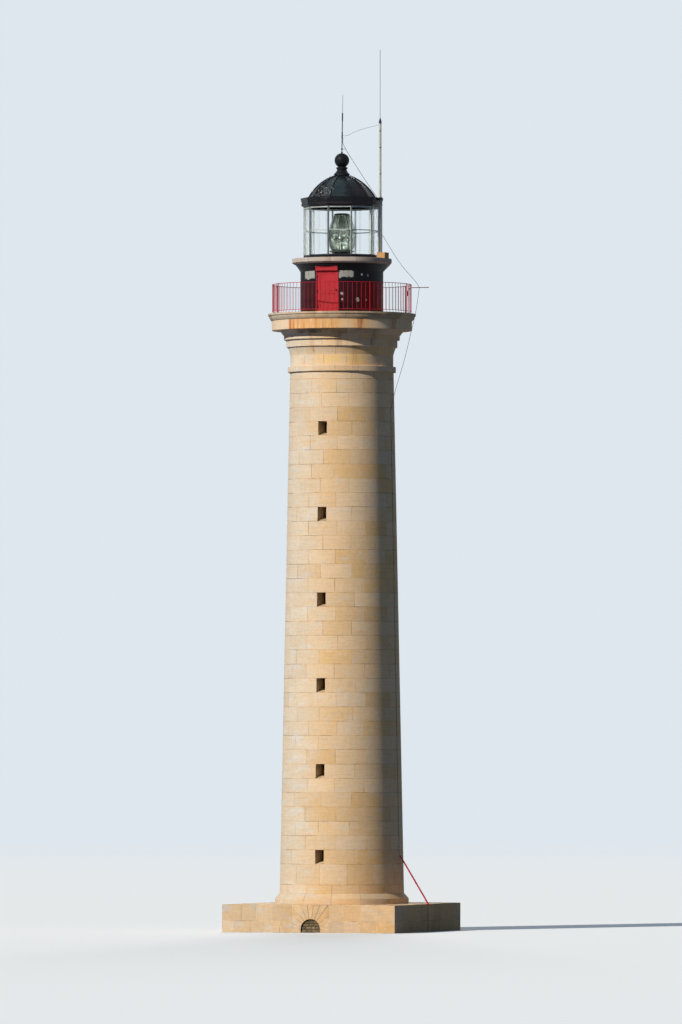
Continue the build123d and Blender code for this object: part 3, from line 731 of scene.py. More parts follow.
ashlar = Stock()
for low, high in pairs(shaftLevels()):
    scale = math.radians(coneRadius((low + high) / 2))
    for across in courseStretches(low, high):
        block(ashlar, coneSurface, across, (low, high), scale, blockTone())
shaftStone = stoneMaterial("shaftStone")
stonePiece(ashlar, "shaftAshlar", shaftStone)

# Entrance surround at the back: long and short jambs under a flat arch

entrance = {"jambCuts": (2.16, 2.7), "headStones": 5}
surround = Stock()
for low, high in pairs([footLevel, *entrance["jambCuts"], shaft["doorHead"]]):
    radius = coneRadius((low + high) / 2)
    inner, outer = (halfAngle(shaft[edge], radius) for edge in ("doorHalf", "surroundHalf"))
    for side in (-1, 1):
        ends = sorted((180 + side * inner, 180 + side * outer))
        block(surround, coneSurface, ends, (low, high), math.radians(radius), blockTone())
headRadius = coneRadius(shaft["surroundTop"])
headHalf = halfAngle(shaft["surroundHalf"], headRadius)
for across in pairs(splitRun(180 - headHalf, 180 + headHalf, entrance["headStones"], 0)):
    block(surround, coneSurface, across, (shaft["doorHead"], shaft["surroundTop"]), math.radians(headRadius),
          blockTone())
stonePiece(surround, "entranceSurround", shaftStone)

# Turned mouldings cut into stones: base band, capital, gallery slab and lantern ledge

turnedStones = {
    "lift": 0.0004,           # of the first point, off the node below
    "proud": 0.005,
    "seat": 0.003,
    "joint": 0.008,
    "ease": 0.007,
    "blunt": 155,             # a corner wider than this stays as it is
    "edge": 0.006,
    "draft": 0.001,
    "spacing": 1.5,           # degrees
    "uneven": 0.0016,
    "unevenGrain": 3.7,
}


def eased(line, cut):
    # both sides of each sharp corner, so that the arris is worn
    made = [line[0]]
    for before, here, after in zip(line, line[1:], line[2:]):
        a = Vector(before) - Vector(here)
        b = Vector(after) - Vector(here)
        if a.length < 1e-6 or b.length < 1e-6:
            continue
        if a.angle(b) > math.radians(turnedStones["blunt"]):
            made.append(here)
            continue
        for side in (a, b):
            reach = min(cut, side.length * 0.3)
            made.append(tuple(Vector(here) + side.normalized() * reach))
    return made + [line[-1]]


def offsetLine(line, out):
    # the profile moved outwards, square to itself
    made = []
    for k, here in enumerate(line):
        normals = []
        for a, b in ((k - 1, k), (k, k + 1)):
            if 0 <= a and b < len(line):
                run = Vector(line[b]) - Vector(line[a])
                normals.append(Vector((run.y, -run.x)).normalized())
        normal = sum(normals, Vector((0, 0))).normalized()
        stretch = 1 / max(0.5, normal.dot(normals[0]))
        made.append((here[0] + normal.x * out * stretch, here[1] + normal.y * out * stretch))
    return made


def ringStones(stock, profile, ranges, dirt=0.0, proud=turnedStones["proud"]):
    # one stone a range, all with the same profile
    line = eased(profile, turnedStones["ease"])
    scale = math.radians(sum(r for r, _ in line) / len(line))
    depths = (-turnedStones["seat"], proud - turnedStones["edge"], proud)
    shells = [offsetLine(line, depth) for depth in depths]
    half, edge, draft = (turnedStones[key] / scale for key in ("joint", "edge", "draft"))
    half /= 2
    for a0, a1 in ranges:
        parts = max(4, round((a1 - a0) / turnedStones["spacing"]))
        columns = stations(a0 + half, a1 - half, edge, draft, parts)
        rows = []
        for which, rowClass in [(0, 0)] + [(k, 2) for k in range(len(line))] + [(len(line) - 1, 0)]:
            row = []
            for azimuth, columnClass in columns:
                level = min(rowClass, columnClass)
                r, h = shells[level][which]
                point = spot(azimuth, r, h)
                if level == 2:
                    rough = noise.noise(point * turnedStones["unevenGrain"]) * turnedStones["uneven"]
                    point += spot(azimuth, rough, 0)
                row.append(point)
            rows.append(row)
        stock.grid(rows, blockTone(dirt))


def cutProfile(line, low, high, near=0.004):
    # the part between two heights; a ledge goes to the stone below it, a soffit to the one above
    ends = []
    for level in (low, high):
        at = [p for p in line if abs(p[1] - level) <= near]
        for a, b in zip(line, line[1:]):
            if not at and a[1] < level < b[1]:
                at = [(a[0] + (b[0] - a[0]) * (level - a[1]) / (b[1] - a[1]), level)]
        ends.append(at)
    lower, upper = ends
    if len(lower) > 1 and lower[-1][0] < lower[0][0]:
        lower = lower[-1:]
    if len(upper) > 1 and upper[-1][0] > upper[0][0]:
        upper = upper[:1]
    return lower + [p for p in line if low + near < p[1] < high - near] + upper


baseLook = {"openAt": 2.8, "darker": 0.95, "paleRun": (12.9, 37.4), "paleTop": 0.23, "pale": (232, 184, 124)}
baseBand = Stock()
baseProfile = turnedProfile("shaft_side_walls_front", plinthTop, footLevel, azimuth=shaft["measuredAt"])
baseBack = halfAngle(shaft["doorHalf"], baseLook["openAt"])
ringStones(baseBand, baseProfile,
           ringRanges(shaft["footBlocks"], shaft["footJoint"], shaft["footJitter"], baseBack))
baseStains = [(*baseLook["paleRun"], plinthTop, plinthTop + baseLook["paleTop"], 0.3, baseLook["pale"], 0.4)]
stonePiece(baseBand, "baseMoulding", stoneMaterial("baseStone", darker=baseLook["darker"], stains=baseStains))

slabLow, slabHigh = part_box("gallery_slab")
gallery = slabHigh.z
capitalLook = {
    "joint": 1.3,
    "stones": 14,
    "cuts": (23.667, 24.147, 24.497, 24.807, 24.982),
    "stains": [(-8, 48, 23.74, 24.14, 0.75, (244, 202, 132), 5.0),
               (-26, 12, 25.03, 25.19, 0.75, (88, 62, 42), 7.0),
               (14, 60, 25.0, 25.2, 0.4, (96, 72, 52), 9.0),
               (-70, -24, 23.7, 24.45, 0.4, (240, 218, 184), 9.0),
               (-110, -70, 24.98, 25.2, 0.5, (110, 80, 54), 9.0),
               (110, 160, 24.98, 25.2, 0.6, (110, 80, 54), 9.0)],
    "runs": [(-13, -9, 24.25, 25.05, 0.4, (178, 132, 84), 2.4),
             (15, 21, 24.45, 25.1, 0.4, (128, 92, 58), 2.0),
             (32, 40, 23.72, 24.5, 0.35, (170, 118, 62), 2.5),
             (51, 57, 24.5, 25.2, 0.4, (112, 84, 60), 3.0),
             (-96, -84, 24.2, 25.2, 0.4, (130, 92, 58), 3.0),
             (128, 140, 24.2, 25.2, 0.5, (130, 92, 58), 4.0)],
    "soot": 0.3,
    "drip": 0.2,
}
capitalStone = stoneMaterial("capitalStone", stains=capitalLook["stains"], runs=capitalLook["runs"],
                             soot=capitalLook["soot"], drip=capitalLook["drip"])
capitalStones = Stock()
capitalProfile = [(topRadius, shaftTop + turnedStones["lift"]),
                  *turnedProfile("capital", shaftTop, capitalHigh.z)]
for k, (low, high) in enumerate(pairs([shaftTop, *capitalLook["cuts"], capitalHigh.z])):
    first = capitalLook["joint"] + (180 / capitalLook["stones"] if k % 2 == 0 else 0)
    ringStones(capitalStones, cutProfile(capitalProfile, low, high), ringRanges(capitalLook["stones"], first))
stonePiece(capitalStones, "capitalStones", capitalStone)

galleryLook = {
    "fasciaTop": 25.607,
    "stones": 14,
    "fasciaJoint": -13.5,
    "corniceJoint": -1.0,
    "border": 2.72,
    "flagSplit": 2.2,
    "flagsFrom": 1.75,
    "flags": 28,
    "flagTurn": 6,            # from the inner ring of flags to the outer one
    "flagJitter": 0.6,
    "rust": (180, 88, 10),
    "ochre": (232, 164, 86),
    "rustRuns": [(-27.0, -24.6, 1.0), (-22.8, -21.4, 0.8), (-18, -16.8, 0.6), (-12, -10.6, 0.5),
                 (-1.2, 0.4, 0.5), (4.6, 6.0, 0.4), (34, 39, 0.7), (66, 72, 0.5), (118, 131, 0.6),
                 (-104, -97, 0.6)],
    "ochreRuns": [(-27, 20, 0.8), (28, 46, 0.6), (100, 150, 0.6), (-120, -88, 0.6)],
    "rustSoft": 1.3,
    "ochreSoft": 6.0,
    "fascia": dict(stoneLook, pale=(246, 216, 176), warm=(238, 204, 160), ochre=(238, 200, 150),
                   weather=(240, 216, 186)),
}
slabProfile = [(capitalProfile[-1][0] + 0.004, slabLow.z + turnedStones["lift"]),
               *turnedProfile("gallery_slab", slabLow.z, gallery), (galleryLook["border"], gallery)]
fasciaRange = (slabLow.z - 0.05, galleryLook["fasciaTop"] + 0.05)
fasciaRuns = [(first, last, *fasciaRange, strength, galleryLook[tint], galleryLook[tint + "Soft"])
              for tint in ("ochre", "rust") for first, last, strength in galleryLook[tint + "Runs"]]
fasciaStone = stoneMaterial("fasciaStone", galleryLook["fascia"], soot=0.2, runs=fasciaRuns, drip=0.2)
fascia = Stock()
ringStones(fascia, cutProfile(slabProfile, slabLow.z, galleryLook["fasciaTop"]),
           ringRanges(galleryLook["stones"], galleryLook["fasciaJoint"]))
stonePiece(fascia, "galleryFascia", fasciaStone)
cornice = Stock()
ringStones(cornice, cutProfile(slabProfile, galleryLook["fasciaTop"], gallery - 0.002, near=0.0005)
           + slabProfile[-2:], ringRanges(galleryLook["stones"], galleryLook["corniceJoint"]), dirt=0.5)
stonePiece(cornice, "galleryCornice", stoneMaterial("corniceStone", soot=0.4, darker=0.93, drip=0.3))


def galleryTop(azimuth, radius, out):
    return spot(azimuth, radius, gallery + out)


flags = Stock()
for k, (low, high) in enumerate(pairs([galleryLook[key] for key in ("flagsFrom", "flagSplit", "border")])):
    for across in ringRanges(galleryLook["flags"], galleryLook["flagTurn"] * k, galleryLook["flagJitter"]):
        block(flags, galleryTop, across, (low, high), math.radians((low + high) / 2), blockTone(0.5))
stonePiece(flags, "galleryPaving", stoneMaterial("pavingStone", soot=0.4, darker=0.88))

ledgeLow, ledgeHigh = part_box("lantern_ledge")
ledgeLook = {
    "stones": 12,
    "joint": 8.0,
    "outer": 1.975,           # under the ledge, at the cove's lip
    "inner": 1.64,
    "proud": 0.004,
    "stone": dict(stoneLook, pale=(206, 190, 178), warm=(198, 174, 156), rose=(202, 184, 174),
                  weather=(210, 202, 194)),
}
ledgeProfile = [(ledgeLook["outer"], ledgeLow.z + turnedStones["lift"]),
                *turnedProfile("lantern_ledge", ledgeLow.z, ledgeHigh.z), (ledgeLook["inner"], ledgeHigh.z)]
ledgeStones = Stock()
ringStones(ledgeStones, ledgeProfile, ringRanges(ledgeLook["stones"], ledgeLook["joint"]), dirt=0.3,
           proud=ledgeLook["proud"])
ledgeStone = stoneMaterial("ledgeStone", ledgeLook["stone"], soot=0.45)
stonePiece(ledgeStones, "ledgeStones", ledgeStone, "ledge_stone")
print("turned stones made")

# Plinth: two courses a side, a fan of wedge stones over the vent, paving round the shaft's foot

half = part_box("plinth")[1].x
plinthLook = {
    "courseTop": 0.47,
    "upperFront": (-3.0, -2.37, -1.61),
    "upperFrontRight": (1.54, 2.365, 3.17),
    "lowerFront": (-3.3, -2.6, -1.95, -1.28),
    "lowerFrontRight": (1.6, 2.3, 3.05),
    "quoin": 0.012,           # past the corners, so that the quoins meet
    "sideStones": 9,
    "sideJitter": 0.12,
    "backStones": 4,          # each side of the sunk entrance way
    "backJitter": 0.1,
    "wayFrom": 2.82,
    "wayJoints": (3.25, 3.45),
    "ventAt": 0.1,
    "ventHalf": 0.43,
    "ventHeight": 0.56,
    "fanHalf": 0.8,
    "wedges": (3, 5),         # beside each corner of the fan, and over the arch
    "wedgeRadius": 0.62,
    "reach": 0.5,
    "flagInner": 2.815,
    "flags": 24,
    "flagWidth": 0.85,
    "flagEdge": 0.004,        # from the plinth's edge
    "stone": dict(stoneLook, pale=(240, 202, 158), warm=(236, 190, 138), rose=(232, 200, 166),
                  weather=(236, 206, 168), footTone=1.0),
}
spring = plinthLook["ventHeight"] - plinthLook["ventHalf"]


def plinthFace(turn):
    rotation = Matrix.Rotation(math.radians(turn), 4, "Z")
    return lambda u, v, out: rotation @ Vector((u, -half - out, v))


def fanSurface(angle, share, out):
    # from the vent's arch out to the fan's straight sides
    t = math.radians(angle)
    aside = plinthLook["fanHalf"] / max(abs(math.cos(t)), 1e-6)
    edge = min(aside, (plinthTop - spring) / max(math.sin(t), 1e-6))
    radius = plinthLook["ventHalf"] + share / plinthLook["reach"] * (edge - plinthLook["ventHalf"])
    return Vector((plinthLook["ventAt"] - radius * math.cos(t), -half - out, spring + radius * math.sin(t)))


def waySurface(side):
    # the sides of the sunk entrance way
    return lambda u, v, out: Vector((side * (shaft["doorHalf"] - out), u, v))


plinthStones = Stock()
corner = half + plinthLook["quoin"]
fanLeft = plinthLook["ventAt"] - plinthLook["fanHalf"]
fanRight = plinthLook["ventAt"] + plinthLook["fanHalf"]
courses = (((0, plinthLook["courseTop"]), "lowerFront"),
           ((plinthLook["courseTop"], plinthTop), "upperFront"))
for more, (up, key) in enumerate(courses):
    sideStones, backStones = plinthLook["sideStones"] + more, plinthLook["backStones"] + more
    runs = pairs([-corner, *plinthLook[key], fanLeft])
    runs += pairs([fanRight, *plinthLook[key + "Right"], corner])
    for across in runs:
        block(plinthStones, plinthFace(0), across, up, 1, blockTone(0.2))
    for turn in (90, 270):
        for across in pairs(splitRun(-corner, corner, sideStones, plinthLook["sideJitter"])):
            block(plinthStones, plinthFace(turn), across, up, 1, blockTone(0.2))
    for start, end in ((-corner, -shaft["doorHalf"]), (shaft["doorHalf"], corner)):
        for across in pairs(splitRun(start, end, backStones, plinthLook["backJitter"])):
            block(plinthStones, plinthFace(180), across, up, 1, blockTone(0.2))
for side in (-1, 1):
    for joint, (up, key) in zip(plinthLook["wayJoints"], courses):
        for across in pairs([plinthLook["wayFrom"], joint, corner]):
            block(plinthStones, waySurface(side), across, up, 1, blockTone(0.2))
cornerAngle = math.degrees(math.atan2(plinthTop - spring, plinthLook["fanHalf"]))
sideWedges, topWedges = plinthLook["wedges"]
fanMarks = splitRun(0, cornerAngle, sideWedges, 0)[:-1]
fanMarks += splitRun(cornerAngle, 180 - cornerAngle, topWedges, 0)
fanMarks += splitRun(180 - cornerAngle, 180, sideWedges, 0)[1:]
for across in pairs(fanMarks):
    block(plinthStones, fanSurface, across, (0, plinthLook["reach"]), math.radians(plinthLook["wedgeRadius"]),
          blockTone(0.2))
for start, end in ((fanLeft, plinthLook["ventAt"] - plinthLook["ventHalf"]),
                   (plinthLook["ventAt"] + plinthLook["ventHalf"], fanRight)):
    block(plinthStones, plinthFace(0), (start, end), (0, spring), 1, blockTone(0.2))
stonePiece(plinthStones, "plinthBlocks",
           stoneMaterial("plinthStone", plinthLook["stone"], spread=0.12, soot=0.35))

innerBack = halfAngle(shaft["doorHalf"], plinthLook["flagInner"])
outerBack = math.degrees(math.atan(shaft["doorHalf"] / half))
flagMarks = splitRun(innerBack - 180, 180 - innerBack, plinthLook["flags"], 0)
outerMarks = [outerBack - 180, *flagMarks[1:-1], 180 - outerBack]


def plinthPaving(mark, share, out):
    # radial flags between the shaft's foot and the plinth's square edge
    k = min(len(flagMarks) - 2, max(0, int(mark)))
    inner = flagMarks[k] + (flagMarks[k + 1] - flagMarks[k]) * (mark - k)
    outer = outerMarks[k] + (outerMarks[k + 1] - outerMarks[k]) * (mark - k)
    t = math.radians(outer)
    reach = (half - plinthLook["flagEdge"]) / max(abs(math.cos(t)), abs(math.sin(t)))
    near, far = spot(inner, plinthLook["flagInner"], 0), spot(outer, reach, 0)
    point = near.lerp(far, share)
    point.z = plinthTop + out
    return point


paving = Stock()
flatLook = dict(stones, chamfer=0.006, wander=0.0, uneven=0.0012, proud=0.005, spacing=0.35, rise=0.35)
for k in range(len(flagMarks) - 1):
    for low, high in ((0, 0.5), (0.5, 1.0)):
        block(paving, plinthPaving, (k, k + 1), (low, high), plinthLook["flagWidth"], blockTone(0.4),
              look=flatLook)
stonePiece(paving, "plinthPaving", stoneMaterial("flagStone", plinthLook["stone"], spread=0.12, soot=0.35))

rubbleLook = dict(stones, joint=0.022, chamfer=0.02, uneven=0.014, wander=0.016, proud=0.02, spacing=0.05,
                  rise=0.05)
infill = {
    "rows": (0.005, 0.13, 0.25, 0.37, 0.47, 0.545),
    "clear": 0.012,           # from the arch
    "stone": 0.2,
    "jitter": 0.03,
    "look": dict(stoneLook, pale=(150, 130, 98), warm=(132, 106, 70), rose=(140, 124, 102),
                 weather=(140, 124, 98)),
}
rubble = Stock()
infillFace = -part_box("vent_infill")[0].y


def infillSurface(u, v, out):
    return Vector((plinthLook["ventAt"] + u, -infillFace - out, v))


for low, high in pairs(infill["rows"]):
    rise = max(0.0, high - spring)
    reach = math.sqrt(plinthLook["ventHalf"] ** 2 - rise ** 2) - infill["clear"]
    count = max(2, round(reach * 2 / infill["stone"]))
    for across in pairs(splitRun(-reach, reach, count, infill["jitter"])):
        block(rubble, infillSurface, across, (low, high), 1, blockTone(0.8), look=rubbleLook)
rubbleStone = stoneMaterial("rubbleStone", infill["look"], spread=0.4, soot=0.7)
rubble.piece("ventRubble", rubbleStone, "mortar_infill")
print("plinth made")

# CAD stone nodes show between the blocks as mortar, and as limewash inside

wallMortar = mortarMaterial("shaftMortar", footRadius - shaftSlope * footLevel, shaftSlope,
                            joint=(166, 130, 90))
dress(["shaft_front_walls", "shaft_side_walls_front", "shaft_side_walls_back", "shaft_back_walls",
       "shaft_over_door", "shaft_window_strip"], wallMortar)
dress(["plinth"], mortarMaterial("plinthMortar", 0.5, joint=(198, 162, 120)))
dress(["capital", "gallery_slab"], mortarMaterial("capitalMortar", 1.6))
dress(["vent_infill"], mortarMaterial("infillMortar", 0.5, joint=(134, 116, 86)))
dress(["entrance_steps"], stoneMaterial("stepStone", plinthLook["stone"], soot=0.4, darker=0.9))
dress(["service_floor"], mortarMaterial("floorLime", 9.0, inside=(150, 146, 138)))
dress(["lantern_ledge"], mortarMaterial("ledgeMortar", 1.65, joint=(96, 84, 70)))
blockLook = dict(stoneLook, pale=(206, 158, 104), warm=(194, 140, 84), rose=(204, 158, 110))
dress(["mast_block"], stoneMaterial("orangeStone", blockLook, soot=0.3))

# Painted parts: colours as they look in plain light, except two reds: the conduits' lighter red is painted
# sunlight and the conductor arm's darker red is painted shade

paints = {
    "redDoor": dict(colour=(186, 28, 40), second=(172, 24, 36), chips=0.25, under=(112, 60, 50),
                    roughness=0.5),
    "redRail": dict(colour=(190, 24, 40), second=(158, 20, 34), chips=0.6, under=(96, 46, 34),
                    roughness=0.4),
    # a darker red than the rail's, on the conductor arm: painted shade
    "shadeDarkRed": dict(colour=(120, 20, 32), second=(98, 16, 28), chips=0.4, under=(84, 44, 34)),
    # a lighter red than the rail's, on the conduits and their saddles: painted sunlight
    "sunlitPipeRed": dict(colour=(208, 26, 44), second=(186, 24, 38), chips=0.3, under=(110, 50, 40),
                    roughness=0.4),
    "black": dict(colour=(14, 16, 22), second=(24, 26, 32), chips=0.35, under=(80, 48, 40), roughness=0.5,
                  specular=0.12),
    "glazing": dict(colour=(206, 214, 208), second=(170, 180, 174), chips=0.3, under=(70, 72, 70),
                    roughness=0.5, below=(28.384, (22, 26, 32))),
    "glazingStrip": dict(colour=(104, 114, 110), second=(70, 80, 80), chips=0.4, under=(60, 60, 58),
                         roughness=0.5),
    "lensIron": dict(colour=(74, 82, 74), second=(52, 58, 54), chips=0.4, under=(40, 36, 30), roughness=0.5),
    "mast": dict(colour=(214, 208, 196), second=(194, 188, 176), chips=0.05, under=(150, 124, 104)),
    "rod": dict(colour=(52, 60, 76), second=(38, 44, 58), chips=0.3, under=(80, 60, 48), roughness=0.5,
                metal=0.3),
    "casement": dict(colour=(104, 74, 44), second=(80, 56, 34), chips=0.8, under=(120, 62, 38)),
}
painted = {name: paintedMaterial(name + "Paint", **look) for name, look in paints.items()}
paneGlass = glassMaterial("paneGlass", (240, 248, 248), dust=0.06, ior=1.12, alpha=0.2)
prismGlass = glassMaterial("prismGlass", (226, 234, 222), dust=0.12, ior=1.5)

serviceLook = {
    "lower": (48, 14, 20),
    "upper": (9, 13, 20),
    "bare": (176, 176, 168),
    "redder": (96, 14, 22),
    "faded": (70, 56, 54),
    "changeFrom": 27.16,      # where the dark red below gives way to black
    "changeTo": 27.22,
    "changeWave": 0.12,
    "redderRange": (48, 100),
    "redderFade": (27.25, 27.1),
    "bands": [(-41, -19.5, 27.35, 27.68), (17, 37.5, 27.38, 27.68), (150, 172, 27.4, 27.66)],
    "patches": [((21.5, 26.7), (2.2, 0.06)), ((22, 26.45), (1.6, 0.05)), ((43.7, 26.45), (2.6, 0.1)),
                ((50, 27.5), (1.6, 0.05)), ((60, 27.48), (1.6, 0.06)), ((57, 26.45), (1.4, 0.045)),
                ((-120, 26.9), (3.5, 0.12)), ((130, 27.3), (3.0, 0.1)), ((-75, 26.3), (2.5, 0.07))],
}


def serviceWallMaterial(look):
    # dark red below, black above, with the paint gone in patches and bands
    material, tree, shader = treeFor("serviceWallPaint")
    where = place(tree)
    angle, radius, height = roundPlace(tree)
    cloud = grain(tree, where, 6.0, 6, 0.65)
    ragged = maths(tree, "SUBTRACT", cloud, 0.5)
    fine = grain(tree, where, 60, 4, 0.6)
    edge = lifted(tree, height, ragged, look["changeWave"])
    colour = laid(tree, paint(*look["lower"]), between(tree, edge, look["changeFrom"], look["changeTo"]),
                  look["upper"])
    redder = times(tree, windowOf(tree, angle, *look["redderRange"], 6),
                   between(tree, edge, *look["redderFade"]), 0.7)
    colour = laid(tree, colour, redder, look["redder"])
    colour = laid(tree, colour, times(tree, between(tree, cloud, 0.62, 0.8), 0.25), look["faded"])
    places = [patchOf(tree, angle, height, middle, size, cloud) for middle, size in look["patches"]]
    for start, end, low, high in look["bands"]:
        level = lifted(tree, height, ragged, 0.4)
        places.append(times(tree, windowOf(tree, angle, start, end, 1.2),
                            windowOf(tree, level, low, high, 0.012)))
    mask = places[0]
    for other in places[1:]:
        mask = maths(tree, "MAXIMUM", mask, other)
    worn = roundGrain(tree, angle, height, 0.35, 5.0, radius, 6, 0.7)
    mask = times(tree, mask, between(tree, worn, 0.3, 0.46))
    bare = laid(tree, paint(*shaded(look["bare"], 0.82)), fine, look["bare"])
    finished(tree, shader, blendOf(tree, mask, colour, bare), 0.6, 0.12)
    bumped(tree, shader, maths(tree, "SUBTRACT", times(tree, fine, 0.3), mask), 0.4, 0.004)
    return material


dress(["service_wall_front", "service_wall_sides", "service_wall_back"], serviceWallMaterial(serviceLook))
for nodes, paintName, slotName in (
        (["cove"], "black", "black_paint"),
        (["gallery_door", "entrance_door"], "redDoor", "red_timber"),
        (["gallery_door_frame"], "redDoor", "maroon_timber"),
        (["lantern_sill", "finial"], "black", "black_iron"),
        (["lantern_mullions", "lantern_transoms"], "glazing", "glazing_bars"),
        (["lens_pedestal", "lens_frame"], "lensIron", "lens_iron"),
        (["lightning_rod", "mast_whip"], "rod", "dark_rod"),
        (["mast"], "mast", "white_mast"),
        ([f"railing_panel_{k}" for k in range(1, 9)], "redRail", "red_iron"),
        # the conductor arm's darker red is painted shade
        (["conductor_arm"], "shadeDarkRed", "red_iron"),
        # the conduits' lighter red is painted sunlight
        (["conductor_conduits"], "sunlitPipeRed", "red_iron")):
    dress(nodes, painted[paintName])
dress(["lantern_panes"], paneGlass)

# Patches on the weathered black: azimuth and height above the foot, half sizes, strength, colour, flecked

domeBlack = {
    "tones": ((10, 13, 19), (26, 31, 38), (62, 70, 78)),
    "upright": 0.7,
    "patches": [((8, 0.4), (24, 0.5), 0.5, (46, 62, 66), False),
                ((-26, 0.22), (18, 0.24), 0.8, (164, 164, 168), True),
                ((-4, 0.3), (9, 0.18), 0.8, (182, 182, 184), True),
                ((-14, 0.62), (30, 0.2), 0.6, (120, 120, 124), True),
                ((58, 0.36), (7, 0.12), 0.9, (140, 40, 50), True),
                ((66, 0.2), (16, 0.2), 0.5, (84, 50, 56), True),
                ((-110, 0.3), (34, 0.25), 0.9, (190, 188, 188), True),
                ((170, 0.5), (40, 0.35), 0.6, (96, 84, 84), True)],
}
gutterBlack = {
    "tones": ((11, 14, 20), (22, 25, 31), (50, 55, 62)),
    "upright": 2.0,
    "patches": [((6, 0.07), (26, 0.1), 0.5, (48, 34, 40), False),
                ((-30, 0.3), (50, 0.1), 0.6, (90, 84, 92), True),
                ((140, 0.2), (60, 0.14), 0.7, (84, 46, 44), True)],
}


def weatheredBlack(name, look, foot):
    # near-black paint, flecked where it is worn, with thin runs down it
    material, tree, shader = treeFor(name)
    where = place(tree)
    angle, radius, height = roundPlace(tree)
    cloud = grain(tree, where, 3.2, 7, 0.68)
    fine = grain(tree, where, 50, 4, 0.6)
    flecks = between(tree, grain(tree, where, 13, 5, 0.72), 0.55, 0.62)
    runs = roundGrain(tree, angle, height, 0.5, look["upright"], 1.0, 6, 0.65)
    first, second, third = look["tones"]
    colour = laid(tree, paint(*first), between(tree, cloud, 0.4, 0.7), second)
    colour = laid(tree, colour, times(tree, between(tree, runs, 0.56, 0.7), 0.3), third)
    for (azimuth, rise), size, strength, tint, flecked in look["patches"]:
        patch = patchOf(tree, angle, height, (azimuth, foot + rise), size, cloud, ragged=0.5)
        mask = times(tree, patch, strength)
        if flecked:
            mask = times(tree, mask, flecks)
        colour = laid(tree, colour, mask, tint)
    finished(tree, shader, colour, 0.45, 0.16)
    bumped(tree, shader, fine, 0.25, 0.003)
    return material


domeFoot, domeTop = (corner.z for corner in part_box("dome"))
gutterFoot, gutterTop = (corner.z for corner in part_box("lantern_gutter"))
domePaint = weatheredBlack("domePaint", domeBlack, domeFoot)
dress(["dome"], domePaint)
dress(["lantern_gutter"], weatheredBlack("gutterPaint", gutterBlack, gutterFoot))
print("nodes dressed")

# Windows: timber casements deep in the reveals

windows = {
    "setBack": 0.8,
    "clear": 0.004,
    "frameWidth": 0.04,
    "frameDepth": 0.05,
    "upright": 0.024,
    "crossbar": 0.02,
    "glass": 0.006,
    "sillRise": 0.11,
}
casements, casementGlass = Stock(), Stock()
for k in range(shaft["windows"]):
    sill = shaft["tallCourseTop"] + k * shaft["windowEvery"] * shaft["course"]
    low, high = sill + windows["sillRise"], sill + shaft["course"]
    wide, tall = shaft["windowWidth"] - windows["clear"], high - low - windows["clear"]
    bar, deep = windows["frameWidth"], windows["frameDepth"]
    base = standing(0, coneRadius(sill) - windows["setBack"], (low + high) / 2)
    for side in (-1, 1):
        slab(casements, moved(base, x=side * (wide - bar) / 2), (bar, deep, tall))
        slab(casements, moved(base, z=side * (tall - bar) / 2), (wide - 2 * bar, deep - 0.006, bar))
    slab(casements, base, (windows["upright"], deep * 0.7, tall - 2 * bar))
    slab(casements, base, (wide - 2 * bar, deep * 0.6, windows["crossbar"]))
    slab(casementGlass, moved(base, y=-0.004), (wide - 1.6 * bar, windows["glass"], tall - 1.6 * bar), 0.001)
casements.piece("windowCasements", painted["casement"], "glazing_bars")
casementGlass.piece("windowGlass", glassMaterial("windowGlass", (206, 214, 206), dust=0.3), "pane_glass")

# Entrance door ironwork at the back: strap hinges, ring and lock plate

doorIron = {
    "hinges": (0.3, 1.05, 1.8),
    "strap": (0.74, 0.008, 0.055),
    "strapAside": -0.11,
    "bolts": 5,
    "boltsFrom": -0.42,
    "boltSpacing": 0.15,
    "bolt": (0.012, 0.007),   # radius and height, here and below
    "pinAside": -0.485,
    "pinHalf": 0.05,
    "pin": 0.014,
    "ringAside": 0.36,
    "ringAt": 1.02,
    "lockAt": 0.82,
    "lockPlate": (0.09, 0.008, 0.16),
    "boss": [(0.04, -0.014), (0.04, -0.006), (0.02, 0.004), (0.016, 0.012)],
    "ring": 0.052,
    "ringRod": 0.008,
    "ringHangs": 0.045,
    "ringOut": 0.006,
}
ironwork = Stock()
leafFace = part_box("entrance_door")[1].y
strapFace = leafFace + doorIron["strap"][1]
for rise in doorIron["hinges"]:
    level = plinthTop + rise
    strapAt = standing(180, leafFace + doorIron["strap"][1] / 2, level)
    slab(ironwork, moved(strapAt, x=doorIron["strapAside"]), doorIron["strap"], 0.002)
    for k in range(doorIron["bolts"]):
        aside = doorIron["boltsFrom"] + doorIron["boltSpacing"] * k
        boltHead(ironwork, moved(facing(180, strapFace, level), aside), *doorIron["bolt"])
    pinAt = standing(180, leafFace + 0.012, level)
    pinEnds = [pinAt @ Vector((doorIron["pinAside"], 0, end * doorIron["pinHalf"])) for end in (-1, 1)]
    roundBar(ironwork, pinEnds, doorIron["pin"], 10)
ringAt = moved(facing(180, leafFace + 0.012, plinthTop + doorIron["ringAt"]), doorIron["ringAside"])
turnedPiece(ironwork, ringAt, doorIron["boss"], 20)
ringSection = [(doorIron["ring"] + doorIron["ringRod"] * math.cos(t), doorIron["ringRod"] * math.sin(t))
               for t in turnsOf(8)]
turnedRing(ironwork, moved(ringAt, y=doorIron["ringHangs"], z=doorIron["ringOut"]), ringSection, 24)
lockAt = moved(standing(180, leafFace + 0.003, plinthTop + doorIron["lockAt"]), x=doorIron["ringAside"])
slab(ironwork, lockAt, doorIron["lockPlate"], 0.002)
ironwork.piece("entranceIronwork", painted["black"], "black_iron")

# Gallery door: mouldings round its panels, hinges and a knob

